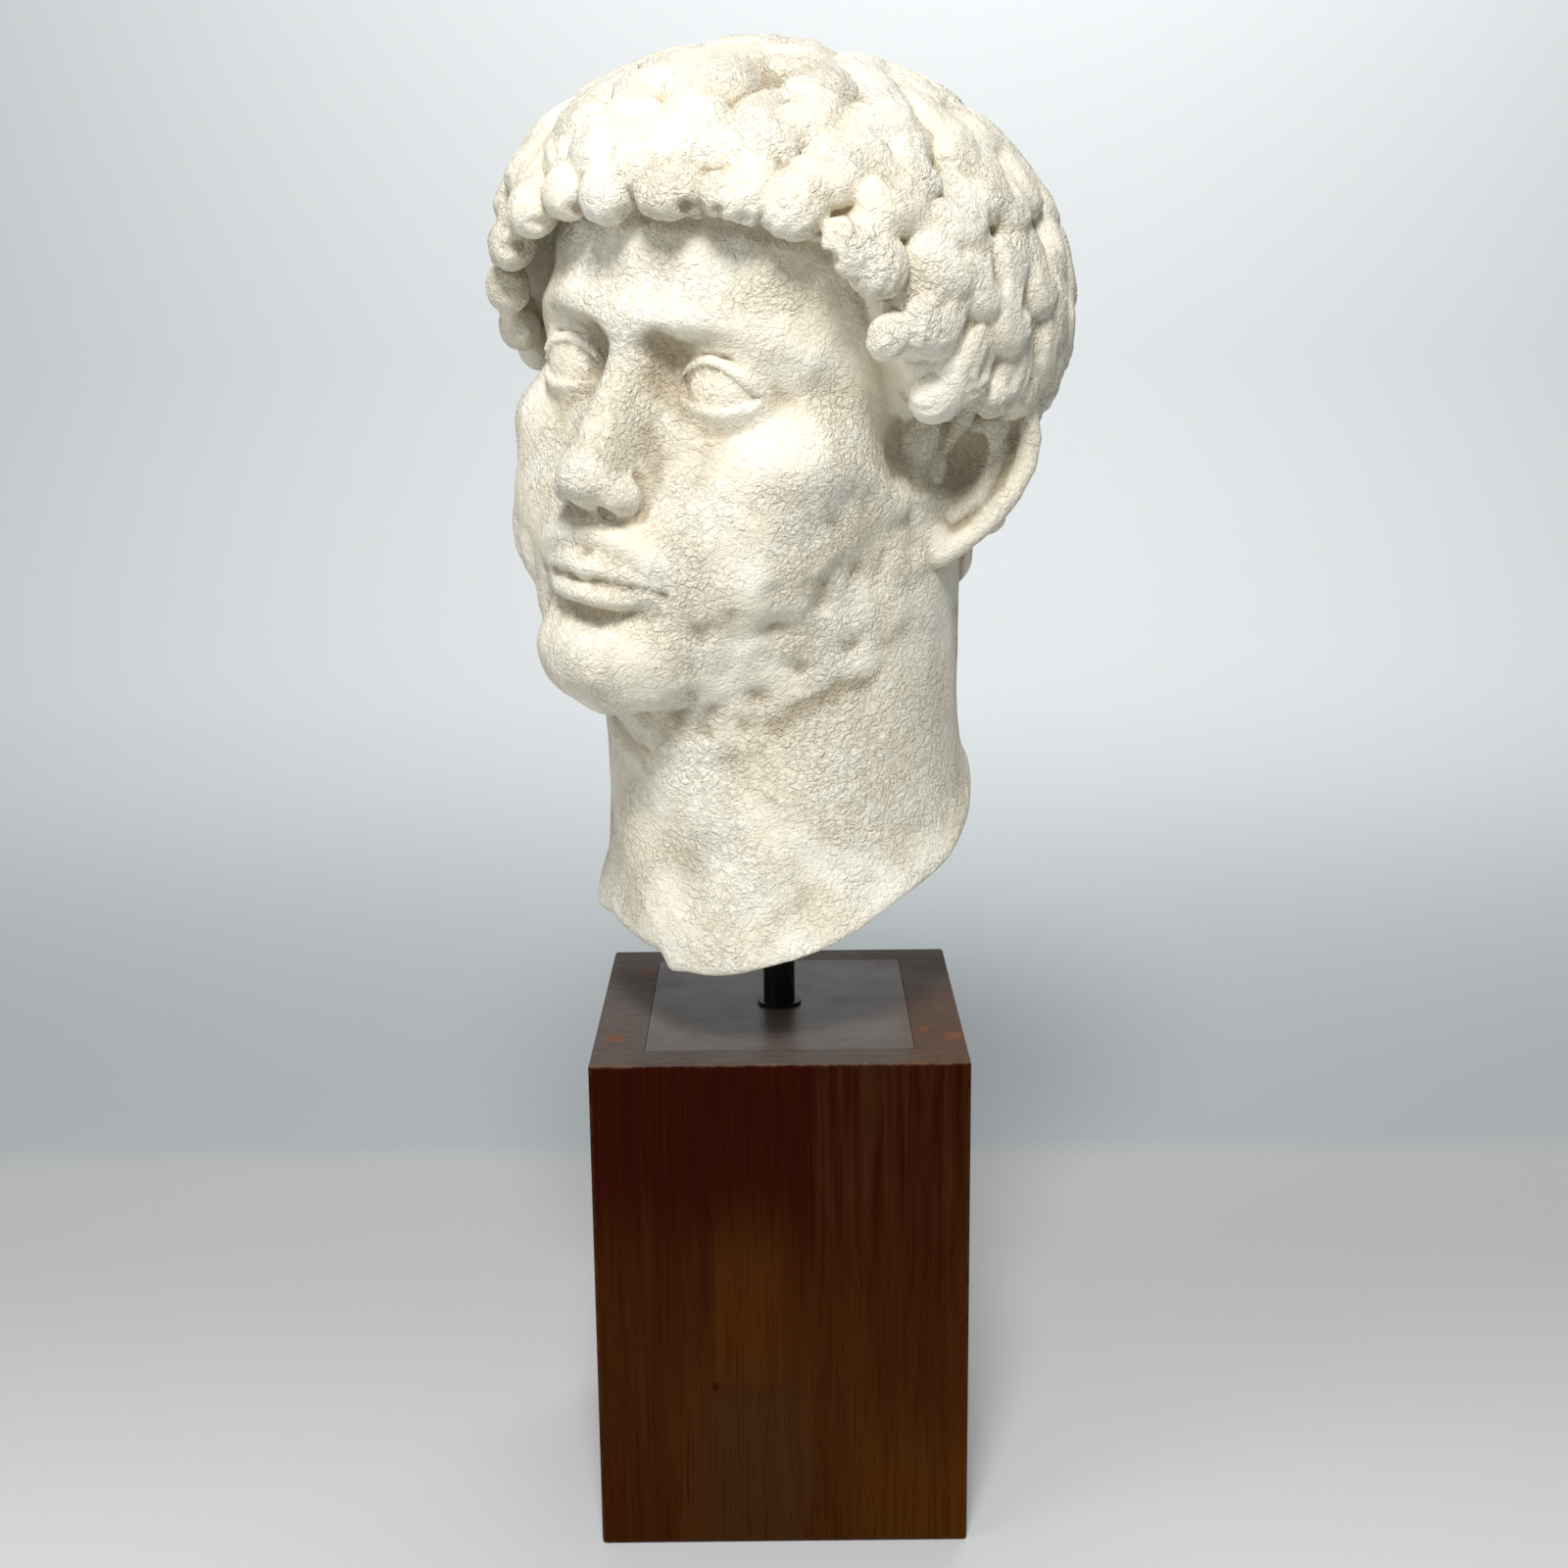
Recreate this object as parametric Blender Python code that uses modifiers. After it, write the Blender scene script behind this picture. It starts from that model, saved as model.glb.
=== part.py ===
"""Antique-style emperor's head, cast in plaster, on a steel post over a square wooden plinth.

Metres, +Z up, front towards -Y. The origin is the middle of the plinth's underside.
The head is worked out from named sizes: a form of skull, features, locks, beard and neck is laid out in
face thirds, a blocked-out mesh is settled on it, thinned, and bored for the post.
"""
import math

import bmesh
import bpy
import numpy as np
from mathutils import Matrix, Vector

# Plinth: four boards round two inset panels
PLINTH_WIDTH = 0.178
PLINTH_HEIGHT = 0.247
BOARD = 0.019
SIDE_BOARD = 0.025
EDGE_ROUND = 0.0018
GAP = 0.0003

# Post
POST_RADIUS = 0.0078
FLANGE_RADIUS = 0.0109
FLANGE_THICK = 0.0014
SPIGOT_RADIUS = 0.005
SPIGOT_DEPTH = 0.034
POST_TOP = 0.452

# Head: a face third is the distance from chin to nose, nose to brow or brow to hairline
FACE_THIRD = 0.083
YAW = math.radians(-33)
TILT = math.radians(9)
SEAT = np.array([-0.025, 0.005, 0.410])
TRIANGLES = 8700
VOXEL = 0.038

# Neck, in metres in the shared frame
CUT_POINT = np.array([-0.033, -0.075, 0.287])
CUT_SLOPE = (0.304, 0.376)
NECK_HALF = (0.085, 0.085)
NECK_MID = (0.003, 0.008)
COLLAR = 0.013

# Skull and hair, in face thirds
SKULL = np.array([0, 0.065, 2.28])
SKULL_R = np.array([1.17, 1.485, 1.22])
HAIR_DEPTH = np.array([0.36, 0.29, 0.09])


# Drill marks under the fringe: degrees round from the middle of the face, height and radius
DRILL_MARKS = [(3, 2.47, 0.050), (16.5, 2.55, 0.042), (23, 2.56, 0.026), (28, 2.54, 0.026), (44, 2.42, 0.050),
               (50, 2.24, 0.035), (64, 1.96, 0.030), (75, 1.76, 0.030), (-10, 2.46, 0.045), (-22, 2.38, 0.045),
               (-33, 2.27, 0.040), (-42, 2.06, 0.040), (-51, 1.86, 0.035)]

# Rolled curls along the front: degrees round, height, half width and half height
KNOBS = [(-3.3, 2.60, 0.150, 0.165), (11.7, 2.65, 0.175, 0.150), (22.5, 2.67, 0.085, 0.125),
         (28, 2.63, 0.075, 0.110), (37, 2.67, 0.180, 0.185), (54.5, 2.44, 0.155, 0.170),
         (58.5, 2.14, 0.110, 0.130), (68, 2.18, 0.140, 0.130), (73, 1.88, 0.150, 0.150),
         (86, 2.06, 0.130, 0.150), (-15.5, 2.58, 0.150, 0.150), (-28, 2.48, 0.155, 0.160),
         (-39, 2.30, 0.150, 0.150), (-48, 2.09, 0.140, 0.145), (-57, 1.88, 0.130, 0.140),
         (-67, 1.76, 0.130, 0.130), (-78, 1.86, 0.135, 0.130), (-88, 2.04, 0.125, 0.140)]

# The almond opening between the lids, in face thirds out from the middle of the face and up from the chin
LID_PLACES = [0.225, 0.265, 0.320, 0.400, 0.470, 0.550, 0.620, 0.670, 0.705]
UPPER_LID = [1.700, 1.752, 1.806, 1.846, 1.854, 1.836, 1.796, 1.756, 1.716]
LOWER_LID = [1.700, 1.676, 1.654, 1.634, 1.626, 1.628, 1.648, 1.680, 1.716]


def unit(v):
    v = np.asarray(v, float)
    return v / np.linalg.norm(v)


def smooth_min(a, b, k):
    h = np.clip(0.5 + 0.5 * (b - a) / k, 0, 1)
    return b + (a - b) * h - k * h * (1 - h)


def step(x, low, high):
    t = np.clip((x - low) / (high - low), 0, 1)
    return t * t * (3 - 2 * t)


def length(v):
    return np.sqrt((v * v).sum(-1))


def blend_fill(k):
    """How far a wide blend fills out beyond the shape itself."""
    return 0.3 * k if k >= 0.15 else 0.0


class Form:
    """Shapes laid one on another. Each is blended over the distance k, and a cut takes away.

    The balls are the same shapes roughly blocked out: middle, radii and axes of each.
    """
    def __init__(self):
        self.strokes = []
        self.balls = []

    def add(self, distance, centre, reach, k, cut=False):
        self.strokes.append((distance, np.asarray(centre, float), reach + max(0.14, 1.3 * k), k, cut))

    def near(self, p):
        """For each shape, the numbers of the points within its reach."""
        x, y, z = np.ascontiguousarray(np.asarray(p, float).T)
        return [np.flatnonzero((x - c[0]) ** 2 + (y - c[1]) ** 2 + (z - c[2]) ** 2 < reach * reach)
                for _, c, reach, _, _ in self.strokes]

    def __call__(self, p, near=None):
        d = np.full(len(p), 9.0)
        for (distance, _, _, k, cut), chosen in zip(self.strokes, near or self.near(p)):
            if len(chosen) == 0:
                continue
            s = distance(p[chosen])
            d[chosen] = -smooth_min(-d[chosen], s, k) if cut else smooth_min(d[chosen], s, k)
        return d

    def ellipsoid(self, centre, radii, k=0.1, axes=None, cut=False):
        centre, radii = np.asarray(centre, float), np.asarray(radii, float)
        axes = np.eye(3) if axes is None else np.asarray(axes, float)
        def distance(p):
            q = (p - centre) @ axes.T
            a = length(q / radii)
            return a * (a - 1) / np.maximum(length(q / radii ** 2), 1e-6)
        self.add(distance, centre, radii.max(), k, cut)
        if not cut:
            self.balls.append((centre, radii + blend_fill(k), axes))

    def tube(self, points, radii, k=0.05, cut=False):
        """A round limb through the points, with a radius at each."""
        points, radii = np.asarray(points, float), np.asarray(radii, float)
        centre = points.mean(0)
        def distance(p):
            d = np.full(len(p), 9.0)
            for a, b, ra, rb in zip(points[:-1], points[1:], radii[:-1], radii[1:]):
                along = b - a
                t = np.clip(((p - a) @ along) / (along @ along), 0, 1)
                d = np.minimum(d, length(p - a - t[:, None] * along) - (ra + (rb - ra) * t))
            return d
        self.add(distance, centre, length(points - centre).max() + radii.max(), k, cut)
        if cut:
            return
        for a, b, ra, rb in zip(points[:-1], points[1:], radii[:-1], radii[1:]):
            for t in np.linspace(0, 1, 1 + int(math.ceil(length(b - a) / (0.6 * min(ra, rb))))):
                self.balls.append((a + (b - a) * t, np.full(3, ra + (rb - ra) * t + blend_fill(k)), np.eye(3)))

    def ribbon(self, points, normals, radii, flat=0.6, k=0.025, groove=0.013):
        """A flattened limb lying on the outward directions given at its points, its back grooved."""
        centre = points.mean(0)

        def distance(p):
            d = np.full(len(p), 9.0)
            for i in range(len(points) - 1):
                along = points[i + 1] - points[i]
                out = unit(normals[i] + normals[i + 1])
                side = unit(np.cross(out, along))
                t = np.clip(((p - points[i]) @ along) / (along @ along), 0, 1)
                off = p - points[i] - t[:, None] * along
                high, wide = off @ out, off @ side
                radius = radii[i] + (radii[i + 1] - radii[i]) * t
                flatly = (off * off).sum(-1) + high * high * (1 / flat ** 2 - 1)
                steep = (off * off).sum(-1) + high * high * (1 / flat ** 4 - 1)
                a = np.sqrt(flatly)
                level = (a - radius) * a / np.sqrt(np.maximum(steep, 1e-9))
                comb = 0.5 + 0.5 * np.cos(9.5 * wide / radius)
                level = level + groove * comb * step(high, 0, 0.5 * flat * radius)
                d = np.minimum(d, level)
            return d
        self.add(distance, centre, length(points - centre).max() + radii.max(), k)
        for a, b, ra, rb in zip(points[:-1], points[1:], radii[:-1], radii[1:]):
            for t in (0, 0.5):
                self.balls.append((a + (b - a) * t, np.full(3, (ra + (rb - ra) * t) * flat), np.eye(3)))

    def knob(self, centre, axes, radii, k=0.024, groove=0.007):
        """A rolled curl: a round lump with strands combed over it."""
        centre, radii, axes = np.asarray(centre, float), np.asarray(radii, float), np.asarray(axes, float)

        def distance(p):
            q = (p - centre) @ axes.T
            a = length(q / radii)
            level = a * (a - 1) / np.maximum(length(q / radii ** 2), 1e-6)
            bend = q[:, 0] + 0.5 * q[:, 2] ** 2 / radii[2]
            comb = 0.5 + 0.5 * np.cos(2 * math.pi * bend / 0.085)
            return level + groove * comb * step(q[:, 2] / radii[2], -0.6, 0.2)
        self.add(distance, centre, radii.max(), k)
        self.balls.append((centre, radii, axes))

    def limb(self, a, b, ra, rb, k=0.1, cut=False):
        self.tube([a, b], [ra, rb], k, cut)

    def pair(self, kind, *args, **named):
        """The same shape on the left (+x) and, mirrored, on the right."""
        getattr(self, kind)(*args, **named)
        flip = np.array([-1, 1, 1.0])
        args = [np.asarray(a, float) * flip if np.ndim(a) >= 1 and i < (2 if kind == "limb" else 1) else a
                for i, a in enumerate(args)]
        if named.get("axes") is not None:
            named["axes"] = np.asarray(named["axes"]) * flip
        getattr(self, kind)(*args, **named)


def curve(points, count):
    """Catmull-Rom curve through the points."""
    points = np.asarray(points, float)
    padded = np.vstack([2 * points[0] - points[1], points, 2 * points[-1] - points[-2]])
    out = []
    for s in np.linspace(0, len(points) - 1, count):
        i = min(int(s), len(points) - 2)
        t = s - i
        a, b, c, d = padded[i:i + 4]
        square, cube = 2 * a - 5 * b + 4 * c - d, 3 * b - a - 3 * c + d
        out.append(0.5 * (2 * b + (c - a) * t + square * t * t + cube * t ** 3))
    return np.array(out)


def skull_and_face(f):
    # Cranium and forehead
    f.ellipsoid(SKULL, SKULL_R, k=0.01)
    f.ellipsoid((0, -0.50, 2.42), (0.93, 0.90, 0.80), k=0.2)
    # Upper face, cheekbones, muzzle
    f.ellipsoid((0, -0.52, 1.50), (1.00, 0.80, 0.95), k=0.2)
    f.ellipsoid((0, -0.62, 0.92), (0.80, 0.76, 0.80), k=0.15)
    f.pair("ellipsoid", (0.70, -0.72, 1.40), (0.38, 0.42, 0.26), k=0.2)
    f.ellipsoid((0, -0.90, 0.78), (0.58, 0.57, 0.50), k=0.18)
    f.pair("ellipsoid", (0.52, -0.76, 1.00), (0.46, 0.47, 0.55), k=0.2)
    # Jaw
    f.pair("limb", (0.76, -0.12, 0.66), (0.22, -1.08, 0.24), 0.25, 0.21, k=0.2)
    f.pair("limb", (0.80, 0.00, 0.72), (0.94, 0.02, 1.60), 0.20, 0.20, k=0.2)
    f.ellipsoid((0, -1.16, 0.26), (0.34, 0.30, 0.27), k=0.14)
    # Floor of the mouth, between the jaw's two sides
    f.ellipsoid((0, -0.45, 0.42), (0.66, 0.70, 0.36), k=0.2)
    # Brow ridge
    brow = curve([(0.10, -1.36, 1.99), (0.38, -1.33, 2.06), (0.66, -1.13, 2.03), (0.80, -0.95, 1.95)], 8)
    f.pair("tube", brow, np.linspace(0.11, 0.06, 8), k=0.18)
    # Eye sockets
    f.pair("ellipsoid", (0.44, -1.40, 1.76), (0.30, 0.23, 0.17), k=0.16, cut=True)
    f.pair("ellipsoid", (0.20, -1.42, 1.80), (0.10, 0.16, 0.14), k=0.12, cut=True)


def nose(f):
    f.tube([(0, -1.27, 2.00), (0, -1.31, 1.84), (0, -1.42, 1.60), (0, -1.54, 1.34), (0, -1.60, 1.22)],
           [0.12, 0.095, 0.110, 0.12, 0.12], k=0.12)
    f.ellipsoid((0, -1.60, 1.19), (0.145, 0.135, 0.125), k=0.08)
    # The nose's body, sloping back to the cheeks
    f.limb((0, -1.20, 1.84), (0, -1.36, 1.19), 0.10, 0.185, k=0.12)
    f.limb((0, -1.58, 1.12), (0, -1.44, 1.04), 0.060, 0.055, k=0.06)
    f.pair("ellipsoid", (0.150, -1.46, 1.12), (0.092, 0.150, 0.098), k=0.07)
    # Nostrils
    f.pair("ellipsoid", (0.095, -1.50, 1.035), (0.042, 0.075, 0.050), k=0.03, cut=True,
           axes=[unit((1, 0.35, 0)), unit((-0.35, 1, 0)), (0, 0, 1)])
    # Crease beside the wing
    crease = curve([(0.19, -1.40, 1.24), (0.255, -1.385, 1.14), (0.235, -1.38, 1.03)], 5)
    f.pair("tube", crease, np.full(5, 0.012), k=0.05, cut=True)


def eyes(f):
    """Calm open eyes: a ball in each socket under two thin lids with an almond opening, and the fold above."""
    middle = np.array([0.46, -1.075, 1.74])
    ball = np.array([0.225, 0.215, 0.215])
    f.pair("ellipsoid", middle, ball - 0.006, k=0.03)

    def lids(p):
        x = np.abs(p[:, 0])
        q = np.column_stack([x, p[:, 1], p[:, 2]]) - middle
        a = length(q / (ball + 0.034))
        shell = a * (a - 1) / np.maximum(length(q / (ball + 0.034) ** 2), 1e-6)
        top = np.interp(x, LID_PLACES, UPPER_LID)
        foot = np.interp(x, LID_PLACES, LOWER_LID)
        opening = np.minimum(top - p[:, 2], p[:, 2] - foot) * 0.9
        return -smooth_min(-shell, -opening, 0.012)
    f.add(lids, (0, -1.1, 1.74), 0.90, 0.05)
    fold = curve([(0.25, -1.12, 1.87), (0.36, -1.17, 1.94), (0.48, -1.19, 1.97), (0.62, -1.13, 1.93),
                  (0.75, -0.98, 1.83)], 9)
    f.pair("tube", fold, 0.045 + 0.050 * np.sin(np.linspace(0, math.pi, 9)), k=0.07)
    # The crease over the upper lid
    crease = np.array([(x, 0, z + 0.058) for x, z in zip(LID_PLACES[2:-2], UPPER_LID[2:-2])])
    crease[:, 1] = middle[1] - 0.252 * np.sqrt(np.maximum(
        1 - ((crease[:, 0] - middle[0]) / 0.262) ** 2 - ((crease[:, 2] - middle[2]) / 0.252) ** 2, 0.02))
    f.pair("tube", crease, np.array([0.002, 0.009, 0.011, 0.009, 0.002]), k=0.026, cut=True)
    # Tear corner
    f.pair("ellipsoid", (0.236, -1.19, 1.70), (0.022, 0.03, 0.018), k=0.03, cut=True)


def mouth(f):
    # Upper lip in two swells with a dip between, lower lip fuller
    f.tube(curve([(-0.37, -1.29, 0.665), (-0.21, -1.42, 0.712), (-0.07, -1.475, 0.742), (0, -1.475, 0.724),
                  (0.07, -1.475, 0.742), (0.21, -1.42, 0.712), (0.37, -1.29, 0.665)], 15),
           0.024 + 0.042 * np.sin(np.linspace(0, math.pi, 15)) ** 0.7, k=0.035)
    f.tube(curve([(-0.33, -1.30, 0.640), (-0.18, -1.41, 0.588), (0, -1.445, 0.568), (0.18, -1.41, 0.588),
                  (0.33, -1.30, 0.640)], 13),
           0.024 + 0.056 * np.sin(np.linspace(0, math.pi, 13)) ** 0.7, k=0.04)
    # The parting of the lips
    f.tube(curve([(-0.41, -1.27, 0.650), (-0.2, -1.47, 0.660), (-0.06, -1.53, 0.664), (0, -1.53, 0.655),
                  (0.06, -1.53, 0.664), (0.2, -1.47, 0.660), (0.41, -1.27, 0.650)], 17),
           np.full(17, 0.015), k=0.025, cut=True)
    f.pair("ellipsoid", (0.41, -1.28, 0.650), (0.020, 0.04, 0.022), k=0.06, cut=True)
    # Groove under the nose, hollow over the chin
    f.limb((0, -1.53, 0.97), (0, -1.555, 0.81), 0.035, 0.035, k=0.06, cut=True)
    f.ellipsoid((0, -1.55, 0.445), (0.24, 0.14, 0.06), k=0.12, cut=True)


def ears(f, k=0.03):
    """The ear lies in a plane turned out from the head: a rim, an inner ridge, a bowl, a flap and a lobe."""
    out = unit((0.70, 0.71, 0.0))
    up = unit((0.05, 0.22, 1))
    across = unit(out - up * (out @ up))       # towards the ear's back edge
    face = np.cross(across, up)                # away from the head
    face = face if face[0] > 0 else -face
    root = np.array([1.12, 0.10, 1.48])
    def at(a, u, n=0.0):
        return root + 1.12 * (a * across + u * up + n * face)
    plate = np.array([across, up, face])
    f.pair("ellipsoid", at(0.17, 0.05, -0.03), (0.28, 0.45, 0.085), k=0.07, axes=plate)
    rim = curve([at(0.02, 0.10, 0.02), at(0.03, 0.30, 0.05), at(0.15, 0.44, 0.05), at(0.31, 0.40, 0.045),
                 at(0.41, 0.20, 0.04), at(0.38, -0.05, 0.03), at(0.26, -0.28, 0.02), at(0.14, -0.42, 0.01)], 14)
    f.pair("tube", rim, np.linspace(0.062, 0.070, 14), k=k)
    f.pair("ellipsoid", at(0.09, -0.38, 0.015), (0.11, 0.12, 0.06), k=0.05, axes=plate)
    f.pair("ellipsoid", at(0.12, 0.02, 0.10), (0.125, 0.21, 0.13), k=0.05, axes=plate, cut=True)
    ridge = curve([at(0.20, 0.30, 0.0), at(0.255, 0.12, 0.02), at(0.24, -0.08, 0.02),
                   at(0.15, -0.22, 0.02)], 8)
    f.pair("tube", ridge, np.full(8, 0.04), k=k)
    f.pair("ellipsoid", at(-0.03, -0.02, 0.02), (0.06, 0.10, 0.055), k=0.04, axes=plate)


# Hair, beard and the cut neck


CROWN = unit((0.0, 0.30, 1.0))


def scalp(p, grow=0.0):
    """The point of the grown skull on the ray from its centre through p, and the outward direction there."""
    q = np.asarray(p, float) - SKULL
    r = SKULL_R + HAIR_DEPTH + grow
    s = q / length(q / r)
    return SKULL + s, unit(s / r ** 2)


def hairline(azimuth):
    """Height of the hair's edge above the chin, from the front (0 degrees) round to the back (180)."""
    return np.interp(np.abs(azimuth), [0, 22, 40, 50, 58, 66, 74, 82, 90, 98, 112, 135, 180],
                     [2.56, 2.58, 2.52, 2.30, 2.04, 1.82, 1.74, 1.82, 1.93, 1.80, 1.20, 0.70, 0.50])


def azimuth_of(q):
    return np.degrees(np.arctan2(np.abs(q[..., 0]), -q[..., 1]))


def hair_cap(f):
    """The mass under the locks: the skull grown by the hair's depth, kept behind the hairline."""
    def distance(p):
        q = p - SKULL
        r = SKULL_R + HAIR_DEPTH - 0.05
        a = length(q / r)
        d = a * (a - 1) / np.maximum(length(q / r ** 2), 1e-6)
        low = hairline(azimuth_of(q))
        return -smooth_min(-d, (p[:, 2] - low) * 0.8, 0.12)
    f.add(distance, SKULL, 2.0, 0.10)
    # Hair down the nape
    f.ellipsoid((0, 0.78, 1.42), (0.98, 0.74, 0.80), k=0.25)
    f.limb((0, 0.72, 1.35), local((-0.001, 0.016, 0.430)), 0.80, 0.92, k=0.25)


def lock(start, heading, size, turn, thick, lift=0.08, steps=8, grow=-0.08):
    """Points, outward directions and radii of a lock: it rises along the heading and hooks round."""
    p, n = scalp(start, grow)
    h = unit(heading - n * (heading @ n))
    points, normals, radii = [], [], []
    for i in range(steps):
        t = i / (steps - 1)
        points.append(p + n * lift * t ** 0.8)
        normals.append(n)
        radii.append(thick * (0.50 + 0.50 * math.sin(math.pi * (0.18 + 0.68 * t))))
        angle = math.radians(turn) / (steps - 1) * (0.2 + 2.4 * t * t)
        h = unit(h * math.cos(angle) + np.cross(n, h) * math.sin(angle))
        p, n = scalp(p + h * size / (steps - 1) * (1.25 - 0.5 * t), grow)
        h = unit(h - n * (h @ n))
    return np.array(points), np.array(normals), np.array(radii)


def hair(f):
    """Locks in rows down from the crown, each lapping over the next, and rolled curls along the front."""
    chance = np.random.RandomState(7)
    side = unit(np.cross(CROWN, (1, 0, 0)))
    across = np.cross(side, CROWN)
    for row, polar in enumerate(np.arange(7, 150, 10.5)):
        ring = 2 * math.pi * math.sin(math.radians(polar)) * 1.6
        count = max(4, int(round(ring / 0.36)))
        for i in range(count):
            phi = 2 * math.pi * (i + 0.5 * (row % 2) + 0.16 * chance.uniform(-1, 1)) / count
            angle = math.radians(polar + 2.5 * chance.uniform(-1, 1))
            out = across * math.cos(phi) + side * math.sin(phi)
            ray = CROWN * math.cos(angle) + out * math.sin(angle)
            flow = out * math.cos(angle) - CROWN * math.sin(angle)
            p, n = scalp(SKULL + ray)
            around = azimuth_of(p - SKULL)
            edge = p[2] - hairline(around)
            jitter = chance.uniform(-1, 1, 5)
            if edge < 0.12 + 0.26 * (around < 85):
                continue
            tight = step(polar, 25, 80)
            sign = 1 if jitter[4] > 0 else -1
            turn = sign * (105 + 70 * tight) * (1 + 0.25 * jitter[0])
            size = (0.47 - 0.04 * tight) * (1 + 0.12 * jitter[1])
            heading = unit(flow + (0.35 * jitter[2] - 0.5 * sign) * np.cross(ray, flow))
            thick = 0.152 + 0.018 * jitter[3]
            points, normals, radii = lock(p, heading, size, turn, thick, lift=0.065 + 0.030 * tight)
            f.ribbon(points, normals, radii, flat=0.52 + 0.20 * tight)
    for i, (degrees, height, wide, tall) in enumerate(KNOBS):
        a = math.radians(degrees)
        p, n = scalp(SKULL + np.array([math.sin(a) * 1.3, -math.cos(a) * 1.6, height - SKULL[2]]), -0.05)
        level = unit(np.cross((0, 0, 1), n))
        lean = math.radians(18 if i % 2 else -14)
        across = level * math.cos(lean) + np.cross(n, level) * math.sin(lean)
        radii = (1.08 * wide, 0.75 * min(wide, tall) + 0.02, tall)
        f.knob(p, np.array([across, n, np.cross(across, n)]), radii)
        # The hair combed forward into the roll
        back = unit(np.cross(across, n)) if np.cross(across, n)[2] > 0 else -unit(np.cross(across, n))
        root, hook = p + (0.50 + tall) * back, 25 if i % 2 else -25
        points, normals, radii = lock(root, -back + 0.3 * across, 0.46, hook, 1.05 * max(wide, 0.11), lift=0.05)
        f.ribbon(points, normals, radii, flat=0.60)


def on(f, p, times=6):
    """The nearest point of the form below p, and the outward direction there."""
    p = np.atleast_2d(np.asarray(p, float))
    for _ in range(times):
        eps = 0.01
        g = np.stack([(f(p + e) - f(p - e)) for e in np.eye(3) * eps], -1) / (2 * eps)
        size = np.maximum((g * g).sum(-1), 0.2)
        p = p - g * (f(p) / size)[:, None]
    return p, g / length(g)[:, None]


def short_curls(f, starts, chance, thick, stride, turn=46, down=(0, -0.1, -1.0), sink=0.02, k=0.05):
    """Short curls on the form's own surface, each setting out aslant and turning back under itself."""
    places, normals = on(f, starts)
    path = []
    for p, n in zip(places, normals):
        fall = unit(np.array(down) - n * (n @ down))
        sign = 1 if chance.uniform() < 0.5 else -1
        h = unit(fall + 0.9 * sign * np.cross(n, fall))
        for _ in range(6):
            path.append(p)
            angle = math.radians(-sign * turn * chance.uniform(0.8, 1.2))
            h = h * math.cos(angle) + np.cross(n, h) * math.sin(angle)
            p = p + h * stride
    path, outward = on(f, path, 4)
    for line in (path - sink * outward).reshape(-1, 6, 3):
        f.tube(line, thick * np.array([0.8, 1.0, 1.1, 1.05, 0.95, 0.85]), k=k)


def beard(f, rows=5, columns=21):
    """Short curls in low relief from one sideburn round the jaw to the other, and a faint moustache."""
    chance = np.random.RandomState(11)
    upper = curve([(0.99, -0.40, 1.46), (0.93, -0.62, 1.12), (0.74, -1.02, 0.84), (0.50, -1.28, 0.50),
                   (0.26, -1.42, 0.36), (0, -1.46, 0.32)], 30)
    lower = curve([(0.99, -0.20, 1.34), (0.94, -0.12, 0.72), (0.74, -0.42, 0.34), (0.46, -0.78, 0.06),
                   (0.2, -0.94, -0.08), (0, -0.98, -0.10)], 30)
    upper = np.vstack([upper, upper[-2::-1] * (-1, 1, 1)])
    lower = np.vstack([lower, lower[-2::-1] * (-1, 1, 1)])
    starts = []
    for r in range(rows):
        for c in range(columns):
            s = (c + 0.5 * (r % 2) + 0.25 * chance.uniform(-1, 1)) / columns
            t = (r + 0.2 * chance.uniform(-1, 1)) / (rows - 1)
            i = min(max(s, 0), 1) * (len(upper) - 1)
            j = min(int(i), len(upper) - 2)
            a = upper[j] * (j + 1 - i) + upper[j + 1] * (i - j)
            b = lower[j] * (j + 1 - i) + lower[j + 1] * (i - j)
            starts.append(a + (b - a) * t)
    short_curls(f, starts, chance, 0.072, 0.062, turn=32, sink=0.054, k=0.05)
    moustache = curve([(0.05, -1.47, 0.90), (0.20, -1.44, 0.87), (0.36, -1.33, 0.79), (0.46, -1.22, 0.66)], 7)
    f.pair("tube", moustache, [0.034, 0.042, 0.046, 0.044, 0.040, 0.034, 0.026], k=0.10)


def nape(f, rows=5, columns=15):
    """Curls lower down the back of the head, growing smaller towards the neck."""
    chance = np.random.RandomState(5)
    for r in range(rows):
        height = 1.46 - 0.22 * r
        spread = 84 - 8 * r
        starts = []
        for c in range(columns - 2 * r):
            a = math.radians(180 + spread * (2 * (c + 0.5 * (r % 2)) / (columns - 2 * r - 0.5) - 1))
            out = np.array([math.sin(a), -math.cos(a)])
            starts.append((1.05 * out[0], 0.35 + 1.15 * out[1], height + 0.05 * chance.uniform(-1, 1)))
        short_curls(f, starts, chance, 0.122 - 0.016 * r, 0.100 - 0.012 * r, down=(0, 0.1, -1.0),
                    sink=0.02 + 0.006 * r)


TURN = (np.array([[math.cos(TILT), 0, math.sin(TILT)], [0, 1, 0], [-math.sin(TILT), 0, math.cos(TILT)]])
        @ np.array([[math.cos(YAW), -math.sin(YAW), 0], [math.sin(YAW), math.cos(YAW), 0], [0, 0, 1]]))


def placed(p):
    """From face thirds in the head's own frame to metres in the shared one."""
    return np.asarray(p) @ TURN.T * FACE_THIRD + SEAT


def local(p):
    return (np.asarray(p, float) - SEAT) / FACE_THIRD @ TURN


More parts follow.
